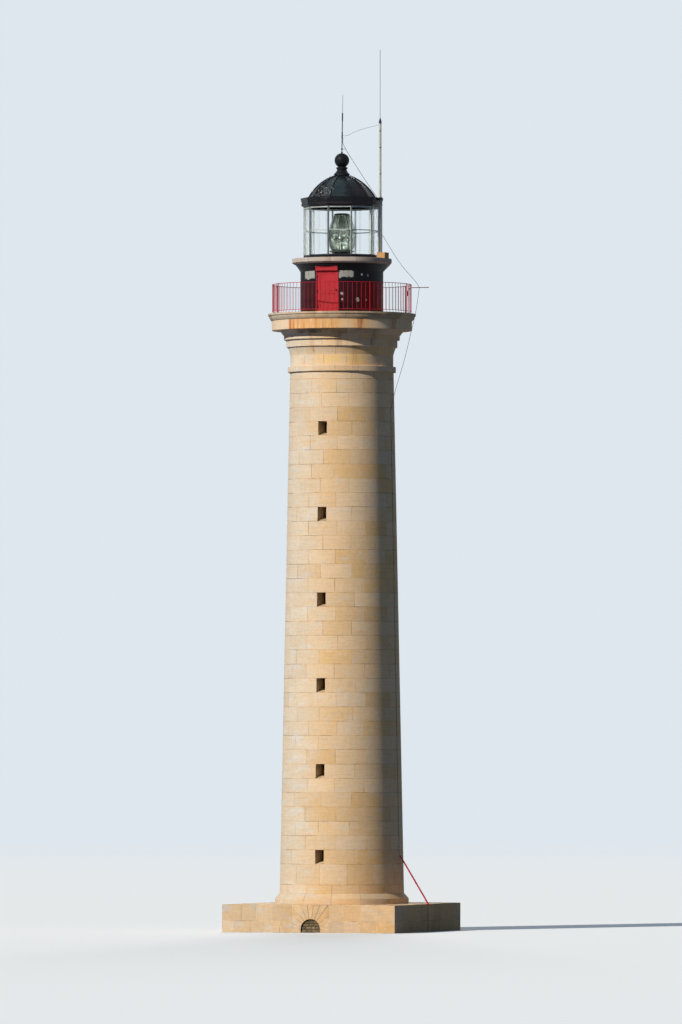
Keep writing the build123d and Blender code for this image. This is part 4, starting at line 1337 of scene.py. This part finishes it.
galleryDoor = {
    "margin": 0.11,
    "panels": ((0.1416, 0.8142), (0.9204, 1.6461)),      # heights above the sill
    "bead": 0.018,
    "sink": 0.012,
    "knobAt": 0.95,
    "knobAside": 0.06,        # from the door's edge
    "knob": [(0.026, -0.004), (0.026, 0.006), (0.01, 0.01), (0.01, 0.035), (0.027, 0.045),
             (0.03, 0.058), (0.018, 0.07)],
    "hinges": (0.25, 0.9, 1.52),
    "hinge": (0.07, 0.006, 0.1),
    "pinOut": 0.006,
    "pinHalf": 0.055,
    "pin": 0.009,
}
doorLow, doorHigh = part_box("gallery_door")
doorFace, doorHalf = -doorLow.y, doorHigh.x
mouldings = Stock()
bead = galleryDoor["bead"]
panelHalf = doorHalf - galleryDoor["margin"]
for low, high in galleryDoor["panels"]:
    tall = high - low
    beadAt = standing(0, doorFace - galleryDoor["sink"] + bead * 0.35, doorLow.z + (low + high) / 2)
    crossSize = (2 * panelHalf - 2 * bead, bead, bead)
    for side in (-1, 1):
        slab(mouldings, moved(beadAt, x=side * (panelHalf - bead / 2)), (bead, bead, tall), 0.005)
        slab(mouldings, moved(beadAt, z=side * (tall - bead) / 2), crossSize, 0.005)
mouldings.piece("galleryDoorMouldings", painted["redDoor"], "red_timber")
doorFittings = Stock()
knobAt = moved(facing(0, doorFace, doorLow.z + galleryDoor["knobAt"]), galleryDoor["knobAside"] - doorHalf)
turnedPiece(doorFittings, knobAt, galleryDoor["knob"], 20)
for level in galleryDoor["hinges"]:
    hinge = moved(standing(0, doorFace + 0.004, doorLow.z + level), doorHalf - 0.002)
    slab(doorFittings, hinge, galleryDoor["hinge"], 0.002)
    pinEnds = [hinge @ Vector((0, galleryDoor["pinOut"], end * galleryDoor["pinHalf"])) for end in (-1, 1)]
    roundBar(doorFittings, pinEnds, galleryDoor["pin"], 8)
doorFittings.piece("galleryDoorFittings", painted["black"], "black_iron")

# Bent overflow pipe under the ledge at the right

overflow = {
    "azimuth": 101,
    "radius": 0.022,
    "lip": (2.06, 27.995),
    "top": (2.03, 27.955),
    "foot": (1.76, 27.69),
}
pipe = Stock()
lip, top, foot = (spot(overflow["azimuth"], *overflow[end]) for end in ("lip", "top", "foot"))
roundBar(pipe, [foot - (top - foot) * 0.12, foot, foot.lerp(top, 0.5), top, lip], overflow["radius"], 12)
pipe.piece("overflowPipe", painted["mast"], "white_mast")
print("doors and windows made")

# Lantern: cover strips with bolts on the mullions, and bolts on the sill and the gutter

lanternLow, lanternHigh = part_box("lantern_mullions")
lantern = {
    "sides": 10,
    "corner": 1.6,
    "strip": (0.052, 0.012),
    "bolts": 8,
    "bolt": (0.011, 0.008),
    "sillCorner": 1.61,
    "sillBolts": 4,
    "sillBolt": (0.013, 0.009),
    "sillBoltSpacing": 0.24,
    "sillBoltsDown": 0.055,
}
eachSide = 360 // lantern["sides"]
flat = math.cos(math.pi / lantern["sides"])
strips, lanternBolts = Stock(), Stock()
tall = lanternHigh.z - lanternLow.z
middle = (lanternLow.z + lanternHigh.z) / 2
stripWide, stripDeep = lantern["strip"]


def centred(count, spacing):
    return [(k - (count - 1) / 2) * spacing for k in range(count)]


for azimuth in range(0, 360, eachSide):
    slab(strips, standing(azimuth, lantern["corner"] + stripDeep / 2 - 0.001, middle),
         (stripWide, stripDeep, tall - 0.004), 0.003)
    for k in range(lantern["bolts"]):
        level = lanternLow.z + tall * (k + 0.5) / lantern["bolts"]
        boltHead(lanternBolts, facing(azimuth, lantern["corner"] + stripDeep, level), *lantern["bolt"])
    sill = facing(azimuth + eachSide / 2, lantern["sillCorner"] * flat,
                  lanternLow.z - lantern["sillBoltsDown"])
    for along in centred(lantern["sillBolts"], lantern["sillBoltSpacing"]):
        boltHead(lanternBolts, moved(sill, along), *lantern["sillBolt"])
strips.piece("mullionStrips", painted["glazingStrip"], "glazing_bars")
lanternBolts.piece("lanternBolts", painted["black"], "black_iron")

gutterBand = {"corner": 1.71, "rise": 0.1, "rivets": 6, "spacing": 0.165, "rivet": (0.012, 0.009)}
gutterBolts = Stock()
for azimuth in range(0, 360, eachSide):
    face = facing(azimuth + eachSide / 2, gutterBand["corner"] * flat, gutterFoot + gutterBand["rise"])
    for along in centred(gutterBand["rivets"], gutterBand["spacing"]):
        rivetHead(gutterBolts, moved(face, along), *gutterBand["rivet"])
gutterBolts.piece("gutterBolts", painted["black"], "black_iron")

# Dome: rivets up the middle of each rib and a lap seam across each gore

domeTree = nodeTree("dome")
domeLook = {
    "rivets": 13,
    "rivet": (0.01, 0.007),
    "rivetsFrom": 0.06,
    "rivetsShort": 0.13,      # of the dome's height
    "seamLevel": 0.42,
    "seamWidth": 0.05,
    "seamStand": 0.004,
    "seamReach": 15.8,        # degrees each way from a gore's middle
}
domeRivets, domeSeams = Stock(), Stock()


def onDome(azimuth, level, out=0.0, up=0.0):
    return spot(azimuth, outerRadius(domeTree, azimuth, level) + out, level + up)


def domeFrame(azimuth, level):
    # z square to the dome's outside, x along its width
    low, high = (onDome(azimuth, h) for h in (level - 0.01, level + 0.01))
    up = (high - low).normalized()
    side = Vector((math.cos(math.radians(azimuth)), math.sin(math.radians(azimuth)), 0))
    normal = side.cross(up)
    if normal.dot(spot(azimuth, 1, 0)) < 0:
        normal = -normal
    matrix = Matrix((side, normal.cross(side), normal)).transposed().to_4x4()
    matrix.translation = (low + high) / 2
    return matrix


rivetTall = domeTop - domeFoot - domeLook["rivetsShort"]
seamLevel = domeFoot + domeLook["seamLevel"]
for azimuth in range(0, 360, eachSide):
    for k in range(domeLook["rivets"]):
        rise = rivetTall * math.sin(math.radians(90 * k / domeLook["rivets"]))
        level = domeFoot + domeLook["rivetsFrom"] + rise
        rivetHead(domeRivets, domeFrame(azimuth, level), *domeLook["rivet"])
    inner, outer = [], []
    for level in (seamLevel - domeLook["seamWidth"] / 2, seamLevel + domeLook["seamWidth"] / 2):
        across = [azimuth + eachSide / 2 + share * domeLook["seamReach"] for share in (-1, -0.5, 0, 0.5, 1)]
        inner.append([onDome(a, level, -0.004) for a in across])
        outer.append([onDome(a, level, domeLook["seamStand"], 0.003) for a in across])
    domeSeams.grid([inner[0], outer[0], outer[1], inner[1]], looped=True)
domeRivets.piece("domeRivets", painted["black"], "black_iron")
domeSeams.piece("domeSeams", domePaint, "black_iron")

finialBase = {
    "bolts": 10,
    "bolt": (0.015, 0.014),
    "boltRing": 0.29,
    "boltRise": 0.035,
    "flashing": [(0.29, -0.018), (0.346, -0.029), (0.341, 0.0005), (0.29, 0.0005)],
}
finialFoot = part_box("finial")[0].z
finialFittings = Stock()
for azimuth in range(0, 360, 360 // finialBase["bolts"]):
    at = spot(azimuth + 18, finialBase["boltRing"], finialFoot + finialBase["boltRise"])
    boltHead(finialFittings, Matrix.Translation(at), *finialBase["bolt"])
turnedRing(finialFittings, Matrix.Translation((0, 0, finialFoot)), finialBase["flashing"], 48)
finialFittings.piece("finialFlashing", painted["black"], "black_iron")
print("lantern dressed")

# Lens: prism rings above and below, and a round pane of ring steps on each of eight sides

lensLow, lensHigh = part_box("lens")
prisms = {
    "sides": 8,
    "firstBar": 8.5,
    "beltLow": 28.987,
    "beltHigh": 29.427,
    "foot": 0.43,
    "waist": 0.545,
    "top": 0.33,
    "upperCurve": 1.15,
    "lowerRings": 7,
    "upperRings": 12,
    "depth": 0.07,
    "gap": 0.005,
    "barHalf": 1.9,
    "paneFront": 0.536,
    "bull": [(0.058, -0.012), (0.06, 0.014), (0.045, 0.026), (0.024, 0.033), (0.006, 0.035)],
    "stepsFrom": 0.064,
    "stepsTo": 0.165,
    "steps": 6,
    "stepGap": 0.002,
    "stepBack": -0.01,
    "stepLip": 0.006,
    "stepCrest": 0.028,
    "stepFall": 0.001,        # each step's crest is this much lower than the last one's
    "rim": (0.166, 0.171, -0.014, 0.024),
    "cornerRings": (0.182, 0.204, 0.226),
    "cornerHalf": 0.009,      # of a ring's width
    "cornerLip": 0.004,
    "cornerCrest": 0.02,
    "cornerFrom": 0.188,      # the corner rings end at the pane's side bars
    "cornerEdge": 0.012,      # and short of the belt's edge
    "hoop": (0.05, 0.012, 0.007),
}
lensGlass, lensMetal = Stock(), Stock()


def lensSection(r0, r1, h0, h1, lower):
    # a wedge-shaped ring: broad outside, thin at the back
    h0, h1 = h0 + prisms["gap"] / 2, h1 - prisms["gap"] / 2
    tip = h1 if lower else h0
    back = min(r0, r1) - prisms["depth"]
    return [(r0, h0), (r1, h1), (back + 0.02, tip + (0.004 if lower else 0.008)), (back, (h0 + h1) / 2)]


def stepSection(r0, r1, lip, crest):
    return [(r0, prisms["stepBack"]), (r1, prisms["stepBack"]), (r1, lip), (r0, crest)]


def lowerRadius(share):
    return prisms["foot"] + (prisms["waist"] - prisms["foot"]) * math.sin(share * math.pi / 2)


def upperRadius(share):
    return prisms["top"] + (prisms["waist"] - prisms["top"]) * (1 - share ** prisms["upperCurve"])


def lensRings(low, high, count, radiusAt, lower):
    fromDoor = Matrix.Rotation(math.radians(-90), 4, "Z")      # so that angles run from the door side
    for h0, h1 in pairs(splitRun(low, high, count, 0)):
        r0, r1 = (radiusAt((h - low) / (high - low)) for h in (h0, h1))
        section = lensSection(r0, r1, h0, h1, lower)
        edge = prisms["barHalf"] * prisms["waist"] / r0
        for k in range(prisms["sides"]):
            start = prisms["firstBar"] + eachPane * k
            turnedRing(lensGlass, fromDoor, section, 14, start + edge, start + eachPane - edge)


eachPane = 360 / prisms["sides"]
lensRings(lensLow.z, prisms["beltLow"], prisms["lowerRings"], lowerRadius, True)
lensRings(prisms["beltHigh"], lensHigh.z, prisms["upperRings"], upperRadius, False)
beltMiddle = (prisms["beltLow"] + prisms["beltHigh"]) / 2
beltHalf = (prisms["beltHigh"] - prisms["beltLow"]) / 2
stepWidth = (prisms["stepsTo"] - prisms["stepsFrom"]) / prisms["steps"]
for k in range(prisms["sides"]):
    pane = facing(prisms["firstBar"] + eachPane / 2 + eachPane * k, prisms["paneFront"], beltMiddle)
    turnedPiece(lensGlass, pane, prisms["bull"], 28)
    for step in range(prisms["steps"]):
        r0 = prisms["stepsFrom"] + stepWidth * step
        r1 = r0 + stepWidth - prisms["stepGap"]
        crest = prisms["stepCrest"] - prisms["stepFall"] * step
        turnedRing(lensGlass, pane, stepSection(r0, r1, prisms["stepLip"], crest), 36)
    for radius in prisms["cornerRings"]:
        near = math.degrees(math.acos(min(1, prisms["cornerFrom"] / radius)))
        far = math.degrees(math.asin(min(1, (beltHalf - prisms["cornerEdge"]) / radius)))
        section = stepSection(radius - prisms["cornerHalf"], radius + prisms["cornerHalf"],
                              prisms["cornerLip"], prisms["cornerCrest"])
        for quarter in range(4):
            start, end = (near, far) if quarter % 2 == 0 else (90 - far, 90 - near)
            if end - start > 4:
                turnedRing(lensGlass, pane, section, 8, quarter * 90 + start, quarter * 90 + end)
    turnedRing(lensMetal, pane, bandSection(*prisms["rim"]), 36)
inside, outside, thick = prisms["hoop"]
for level, radius in ((lensLow.z + thick, prisms["foot"]), (prisms["beltLow"], prisms["waist"]),
                      (prisms["beltHigh"], prisms["waist"]), (lensHigh.z - thick, prisms["top"])):
    turnedRing(lensMetal, Matrix.Translation((0, 0, level)),
               bandSection(radius - inside, radius + outside, -thick, thick), 64)
lensGlass.piece("prismLens", prismGlass, "lens_glass", smooth=25, replaces=("lens",))

lensBase = {
    "bolts": 16,
    "bolt": (0.012, 0.009),
    "boltRing": 0.5195,
    "boltsDown": 0.025,
    "rollers": 8,
    "rollerRing": 0.36,
    "rollersDown": 0.075,
    "roller": [(0.03, -0.03), (0.034, -0.02), (0.034, 0.02), (0.03, 0.03)],
    "stand": [(0.09, 0), (0.09, 0.02), (0.03, 0.04), (0.03, 0.5), (0.05, 0.52), (0.05, 0.56)],
    "bulbAt": 0.555,
    "bulb": [(0.02, 0), (0.045, 0.03), (0.055, 0.07), (0.045, 0.11), (0.02, 0.135), (0.004, 0.14)],
}
for k in range(lensBase["bolts"]):
    at = facing(360 / lensBase["bolts"] * k, lensBase["boltRing"], lensLow.z - lensBase["boltsDown"])
    boltHead(lensMetal, at, *lensBase["bolt"])
for k in range(lensBase["rollers"]):
    at = spot(360 / lensBase["rollers"] * k, lensBase["rollerRing"], lensLow.z - lensBase["rollersDown"])
    turnedPiece(lensMetal, Matrix.Translation(at), lensBase["roller"], 16)
lensMetal.piece("lensFittings", painted["lensIron"], "lens_iron")
lamp, bulb = Stock(), Stock()
turnedPiece(lamp, Matrix.Translation((0, 0, lensLow.z)), lensBase["stand"], 24)
lamp.piece("lampStand", painted["lensIron"], "lens_iron")
turnedPiece(bulb, Matrix.Translation((0, 0, lensLow.z + lensBase["bulbAt"])), lensBase["bulb"], 20)
bulb.piece("lampBulb", glassMaterial("bulbGlass", (250, 248, 236), dust=0.0), "lens_glass")
print("lens made")

# Railing: foot plates with bolts, caps on the posts and heads on the balusters

railing = {
    "radius": 2.92,
    "height": 1.25,
    "posts": 8,
    "bays": 12,
    "plate": (0.11, 0.11, 0.012),
    "plateRise": 0.01,
    "boltAside": 0.039,
    "bolt": 0.01,
    "cap": [(0.024, -0.004), (0.024, 0.006), (0.016, 0.012), (0.005, 0.015)],
    "underCap": (0.05, 0.05, 0.02),
    "underCapDown": 0.034,
    "lowHeads": 0.116,
    "headsBelowTop": 0.024,
    "head": [(0.015, -0.008), (0.015, 0.004), (0.01, 0.012)],
}
railFittings = Stock()
for k in range(railing["posts"]):
    azimuth = 360 / railing["posts"] * k
    foot = standing(azimuth, railing["radius"], gallery + railing["plateRise"])
    slab(railFittings, foot, railing["plate"], 0.003)
    aside = railing["boltAside"]
    for x in (-aside, aside):
        for y in (-aside, aside):
            boltHead(railFittings, moved(foot, x, y, railing["plate"][2] / 2), railing["bolt"])
    cap = standing(azimuth, railing["radius"], gallery + railing["height"])
    turnedPiece(railFittings, cap, railing["cap"], 14)
    slab(railFittings, moved(cap, z=-railing["underCapDown"]), railing["underCap"], 0.003)
for k in range(railing["posts"] * railing["bays"]):
    if k % railing["bays"]:
        azimuth = 360 * k / railing["posts"] / railing["bays"]
        for level in (railing["lowHeads"], railing["height"] - railing["headsBelowTop"]):
            head = standing(azimuth, railing["radius"], gallery + level)
            turnedPiece(railFittings, head, railing["head"], 8)
railFittings.piece("railingFittings", painted["redRail"], "red_iron")

# Mast: base flange with its bolts, bands with lugs, and the bolts of its clamp on the gutter

mastLow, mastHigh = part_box("mast")
mastX = (mastLow.x + mastHigh.x) / 2
mastRadius = (mastHigh.x - mastLow.x) / 2
mastLook = {
    "bands": (0.42, 1.35, 3.3, 4.4, 5.1),
    "band": 0.05,
    "bandStand": 0.006,
    "lug": (0.03, 0.034, 0.05),
    "lugAside": 0.016,
    "lugBolt": 0.01,
    "flange": 0.1,
    "flangeThick": 0.012,
    "neck": (0.014, 0.05),    # heights between which the flange narrows to the mast
    "clear": 0.0005,
    "flangeBolts": 6,
    "flangeBolt": 0.011,
    "boltRing": 0.08,
    "clampTurns": (-60, -20, 20, 60),
    "clampDown": 0.06,
    "clampOut": 0.028,
    "clampBolt": 0.013,
}
mastFittings = Stock()


def onMast(level):
    return Matrix.Translation((mastX, 0, level))


quarterTurn = Matrix.Rotation(math.pi / 2, 4, "Y")     # points a bolt along x
hug, stand = mastRadius + mastLook["clear"], mastRadius + mastLook["bandStand"]
flange, thick = mastLook["flange"], mastLook["flangeThick"]
neckLow, neckHigh = mastLook["neck"]
turnedRing(mastFittings, onMast(mastLow.z),
           [(hug, 0), (flange, 0), (flange, thick), (stand, neckLow), (hug, neckHigh)], 28)
for t in turnsOf(mastLook["flangeBolts"]):
    x, y = mastLook["boltRing"] * math.cos(t), mastLook["boltRing"] * math.sin(t)
    boltHead(mastFittings, moved(onMast(mastLow.z + thick), x, y), mastLook["flangeBolt"])
for rise in mastLook["bands"]:
    level = mastLow.z + rise
    turnedRing(mastFittings, onMast(level), bandSection(mastRadius - 0.001, stand, 0, mastLook["band"]), 24)
    lug = moved(onMast(level + mastLook["band"] / 2), y=-mastRadius - mastLook["lugAside"])
    slab(mastFittings, lug, mastLook["lug"], 0.003)
    boltHead(mastFittings, moved(lug, mastLook["lug"][0] / 2) @ quarterTurn, mastLook["lugBolt"])
mastFittings.piece("mastFittings", painted["mast"], "white_mast")
clampBolts = Stock()
for turn in mastLook["clampTurns"]:
    at = onMast(gutterTop - mastLook["clampDown"]) @ Matrix.Rotation(math.radians(turn), 4, "Z")
    at = moved(at, mastRadius + mastLook["clampOut"]) @ quarterTurn
    boltHead(clampBolts, at, mastLook["clampBolt"])
clampBolts.piece("clampBolts", painted["black"], "black_iron")

# Conductor: its wires as even curves, clips down the shaft and saddles over the two conduits

conductorLook = {
    "wire": 0.009,
    "stayWire": 0.0063,
    "lead": 0.016,
    "leadAt": (1.826, -0.06),
    "leadRise": 0.0003,
    "meetsLead": 0.02,        # above the gutter
    "leavesAt": 0.98,         # above the ledge
    "overArm": (3.495, -0.0263),
    "armBelowRail": 0.18,
    "toArm": ((0.523, 0.466), (0.875, 0.883)),           # shares down and out
    "toWall": ((0.186, 0.115), (0.376, 0.30), (0.588, 0.525), (0.838, 0.838)),
    "meetsWall": 21.83,
    "foot": 3.23,
    "offWall": 0.0093,
    "fromRod": ((0.0478, 0, 0.6), (0.19, -0.02, 0.1)),   # the last number is above the rod's foot
    "overLip": (1.59, 0.045),
    "besideLead": -0.08,
    "stay": ((0.0402, 0, 0.68), (0.27, 0, 0.7)),         # above the rod's foot too
    "stayMiddle": (0.45, 0.9),
    "stayBelowTop": 0.06,
    "stayOffMast": 0.0024,
    "plinthPiece": (0.005, 1.05),
    "parts": 10,              # of the curve from one point to the next
}
conductorRun = Stock()


def evenCurve(points):
    # a curve through all the points, with no corners
    parts = conductorLook["parts"]
    ends = [points[0] * 2 - points[1], *points, points[-1] * 2 - points[-2]]
    line = []
    for a, b, c, d in zip(ends, ends[1:], ends[2:], ends[3:]):
        for k in range(parts):
            t = k / parts
            line.append((b * 2 + (c - a) * t + (a * 2 - b * 5 + c * 4 - d) * t * t
                         + (b * 3 - a - c * 3 + d) * t ** 3) / 2)
    return line + [points[-1]]


def onTheWay(start, end, shares, sideways):
    # points between two ends, from shares down and out
    return [Vector((start.x + (end.x - start.x) * out, sideways, start.z + (end.z - start.z) * down))
            for down, out in shares]


def onWall(height):
    return Vector((coneRadius(height) + conductorLook["offWall"], conductorLook["overArm"][1], height))


wire, lead = conductorLook["wire"], conductorLook["lead"]
leadX, leadY = conductorLook["leadAt"]
leadHeights = (mastLow.z + conductorLook["leadRise"], gutterTop + 2 * lead)
roundBar(conductorRun, [Vector((leadX, leadY, height)) for height in leadHeights], lead, 12)

leaves = Vector((leadX + lead + wire, leadY, ledgeHigh.z + conductorLook["leavesAt"]))
armTop = gallery + railing["height"] - conductorLook["armBelowRail"]
overArm = Vector((*conductorLook["overArm"], armTop))
meets = onWall(conductorLook["meetsWall"])
toArm = onTheWay(leaves, overArm, conductorLook["toArm"], leadY)
toArm[1].y = overArm.y
toWall = onTheWay(overArm, meets, conductorLook["toWall"], overArm.y)
downRun = evenCurve([leaves, *toArm, overArm])[:-1] + evenCurve([overArm, *toWall, meets])
roundBar(conductorRun, downRun + [onWall(conductorLook["foot"])], wire, 8)

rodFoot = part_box("lightning_rod")[0].z
fromRod = [Vector((x, y, rodFoot + rise)) for x, y, rise in conductorLook["fromRod"]]
lipX, lipRise = conductorLook["overLip"]
overLip = Vector((lipX, conductorLook["besideLead"], gutterTop + lipRise))
atLead = Vector((leadX - lead - wire, conductorLook["besideLead"], gutterTop + conductorLook["meetsLead"]))
roundBar(conductorRun, evenCurve([*fromRod, overLip, atLead]), wire, 8)
stay = [Vector((x, y, rodFoot + rise)) for x, y, rise in conductorLook["stay"]]
share, rise = conductorLook["stayMiddle"]
stay.append(Vector((share * mastX, 0, rodFoot + rise)))
stay.append(Vector((mastX - mastRadius - conductorLook["stayOffMast"], 0,
                    mastHigh.z - conductorLook["stayBelowTop"])))
roundBar(conductorRun, evenCurve(stay), conductorLook["stayWire"], 8)
plinthSide = half + conductorLook["offWall"]
roundBar(conductorRun, [Vector((plinthSide, 0, height)) for height in conductorLook["plinthPiece"]], wire, 12)
conductorRun.piece("conductorRun", painted["rod"], "dark_rod", replaces=("conductor",))

clipLook = {
    "spacing": 1.194,
    "first": 3.55,
    "last": 21.5,
    "offset": 0.0265,
    "boltOffset": 0.048,
    "bolt": (0.007, 0.006),
    "size": (0.07, 0.02, 0.022),
    "out": 0.012,
}
clips = Stock()
level = clipLook["first"]
while level < clipLook["last"]:
    out = coneRadius(level) + clipLook["out"]
    slab(clips, moved(standing(90, out, level), clipLook["offset"]), clipLook["size"], 0.003)
    bolt = moved(facing(90, out + clipLook["size"][1] / 2, level), clipLook["boltOffset"])
    boltHead(clips, bolt, *clipLook["bolt"])
    level += clipLook["spacing"]
clips.piece("conductorClips", painted["rod"], "dark_rod")

saddleLook = {"at": (0.1, 0.45, 0.8), "size": (0.062, 0.12, 0.03), "ends": (0.03, 0.02)}
conduitLow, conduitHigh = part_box("conductor_conduits")
lowEnd = Vector((conduitHigh.x - saddleLook["ends"][0], 0, conduitLow.z))
highEnd = Vector((conduitLow.x + saddleLook["ends"][1], 0, conduitHigh.z))
along = (highEnd - lowEnd).normalized()
lean = Matrix.Rotation(math.atan2(along.x, along.z), 4, "Y")
saddles = Stock()
for share in saddleLook["at"]:
    slab(saddles, Matrix.Translation(lowEnd.lerp(highEnd, share)) @ lean, saddleLook["size"], 0.006)
# the saddles take the conduits' lighter red, painted sunlight
saddles.piece("conduitSaddles", painted["sunlitPipeRed"], "red_iron")
print("small fittings made")

# Camera, lamps, sky and floor

camera = bpy.data.objects.new("camera", bpy.data.cameras.new("camera"))
bpy.context.scene.collection.objects.link(camera)
bpy.context.scene.camera = camera
view = {
    "azimuth": 21.4,
    "distance": 386.4,
    "eye": 7.97,
    "pitch": 1.426,
    "lens": 323.4,
    "axisShift": 0.038,       # the axis stands this far right of the picture's middle
}
eye = spot(view["azimuth"], view["distance"], view["eye"])
right = spot(view["azimuth"] + 90, 1, 0)
rise = view["distance"] * math.tan(math.radians(view["pitch"]))
aim = Vector((0, 0, view["eye"] + rise)) - right * view["axisShift"]
camera.location = eye
camera.rotation_mode = "QUATERNION"
camera.rotation_quaternion = (aim - eye).to_track_quat("-Z", "Y")
camera.data.lens = view["lens"]
camera.data.sensor_width = 36
camera.data.clip_start, camera.data.clip_end = 10, 12000

light = {
    "sunAzimuth": -25.6,
    "sunHeight": 31,
    "sunPower": 3.75,
    "sunSpread": 1.6,
    "sunColour": (1.0, 0.95, 0.86),
    "backAzimuth": 198,       # behind the tower, so it lights the far side alone
    "backHeight": 24,
    "backPower": 1.5,
    "backSpread": 24,
    "backColour": (0.9, 0.95, 1.0),
    "skyPower": 0.15,
    "skyColour": (0.4, 0.66, 1.0),
    "backdrop": (222, 231, 238),
    "floorSeen": (246, 247, 248),
    "floorBounce": (98, 108, 126),
    "floorFade": (60, 420),
    "floorReach": 9000,
    "floorLevel": -0.002,
}


def shineFrom(name, azimuth, height, power, spread, colour):
    lamp = bpy.data.objects.new(name, bpy.data.lights.new(name, "SUN"))
    lamp.data.energy, lamp.data.angle, lamp.data.color = power, math.radians(spread), colour
    height = math.radians(height)
    lamp.rotation_mode = "QUATERNION"
    lamp.rotation_quaternion = (-spot(azimuth, math.cos(height), math.sin(height))).to_track_quat("-Z", "Y")
    bpy.context.scene.collection.objects.link(lamp)


for name, key in (("sun", "sun"), ("backFill", "back")):
    shineFrom(name, *(light[key + part] for part in ("Azimuth", "Height", "Power", "Spread", "Colour")))


def seenDirectly(tree):
    # 1 for rays from the camera, and for those through glass and off gloss
    rays = tree.nodes.new("ShaderNodeLightPath")
    return maths(tree, "MAXIMUM", rays.outputs["Is Camera Ray"],
                 maths(tree, "MAXIMUM", rays.outputs["Is Glossy Ray"], rays.outputs["Is Transmission Ray"]))


def mixedShaders(tree, share, first, second):
    node = tree.nodes.new("ShaderNodeMixShader")
    for source, socket in zip((share, first.outputs[0], second.outputs[0]), node.inputs):
        tree.links.new(source, socket)
    return node.outputs[0]


world = bpy.data.worlds.new("studio")
bpy.context.scene.world = world
world.use_nodes = True
worldTree = world.node_tree
worldTree.nodes.clear()
worldOut = worldTree.nodes.new("ShaderNodeOutputWorld")
lit = worldTree.nodes.new("ShaderNodeBackground")
lit.inputs["Color"].default_value = (*light["skyColour"], 1)
lit.inputs["Strength"].default_value = light["skyPower"]
seen = worldTree.nodes.new("ShaderNodeBackground")
seen.inputs["Color"].default_value = paint(*light["backdrop"])
worldTree.links.new(mixedShaders(worldTree, seenDirectly(worldTree), lit, seen), worldOut.inputs["Surface"])

# The floor keeps the shadow near the tower and fades into the backdrop far off

floorMesh = bpy.data.meshes.new("floor")
reach = light["floorReach"]
floorCorners = [(x * reach, y * reach, light["floorLevel"]) for x, y in ((-1, -1), (1, -1), (1, 1), (-1, 1))]
floorMesh.from_pydata(floorCorners, [], [(0, 1, 2, 3)])
floor = bpy.data.objects.new("floor", floorMesh)
bpy.context.scene.collection.objects.link(floor)
floorMaterial, floorTree, floorShader = treeFor("floor")
floorColour = laid(floorTree, paint(*light["floorBounce"]), seenDirectly(floorTree), light["floorSeen"])
finished(floorTree, floorShader, floorColour, 0.9, 0.0)
far = floorTree.nodes.new("ShaderNodeEmission")
far.inputs["Color"].default_value = paint(*light["backdrop"])
angle, radius, level = roundPlace(floorTree)
fade = times(floorTree, between(floorTree, radius, *light["floorFade"]), seenDirectly(floorTree))
floorOut = [node for node in floorTree.nodes if node.type == "OUTPUT_MATERIAL"][0]
floorTree.links.new(mixedShaders(floorTree, fade, floorShader, far), floorOut.inputs["Surface"])
floorMesh.materials.append(floorMaterial)
floor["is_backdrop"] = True

bpy.context.scene.view_settings.view_transform = "Standard"

low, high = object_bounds()
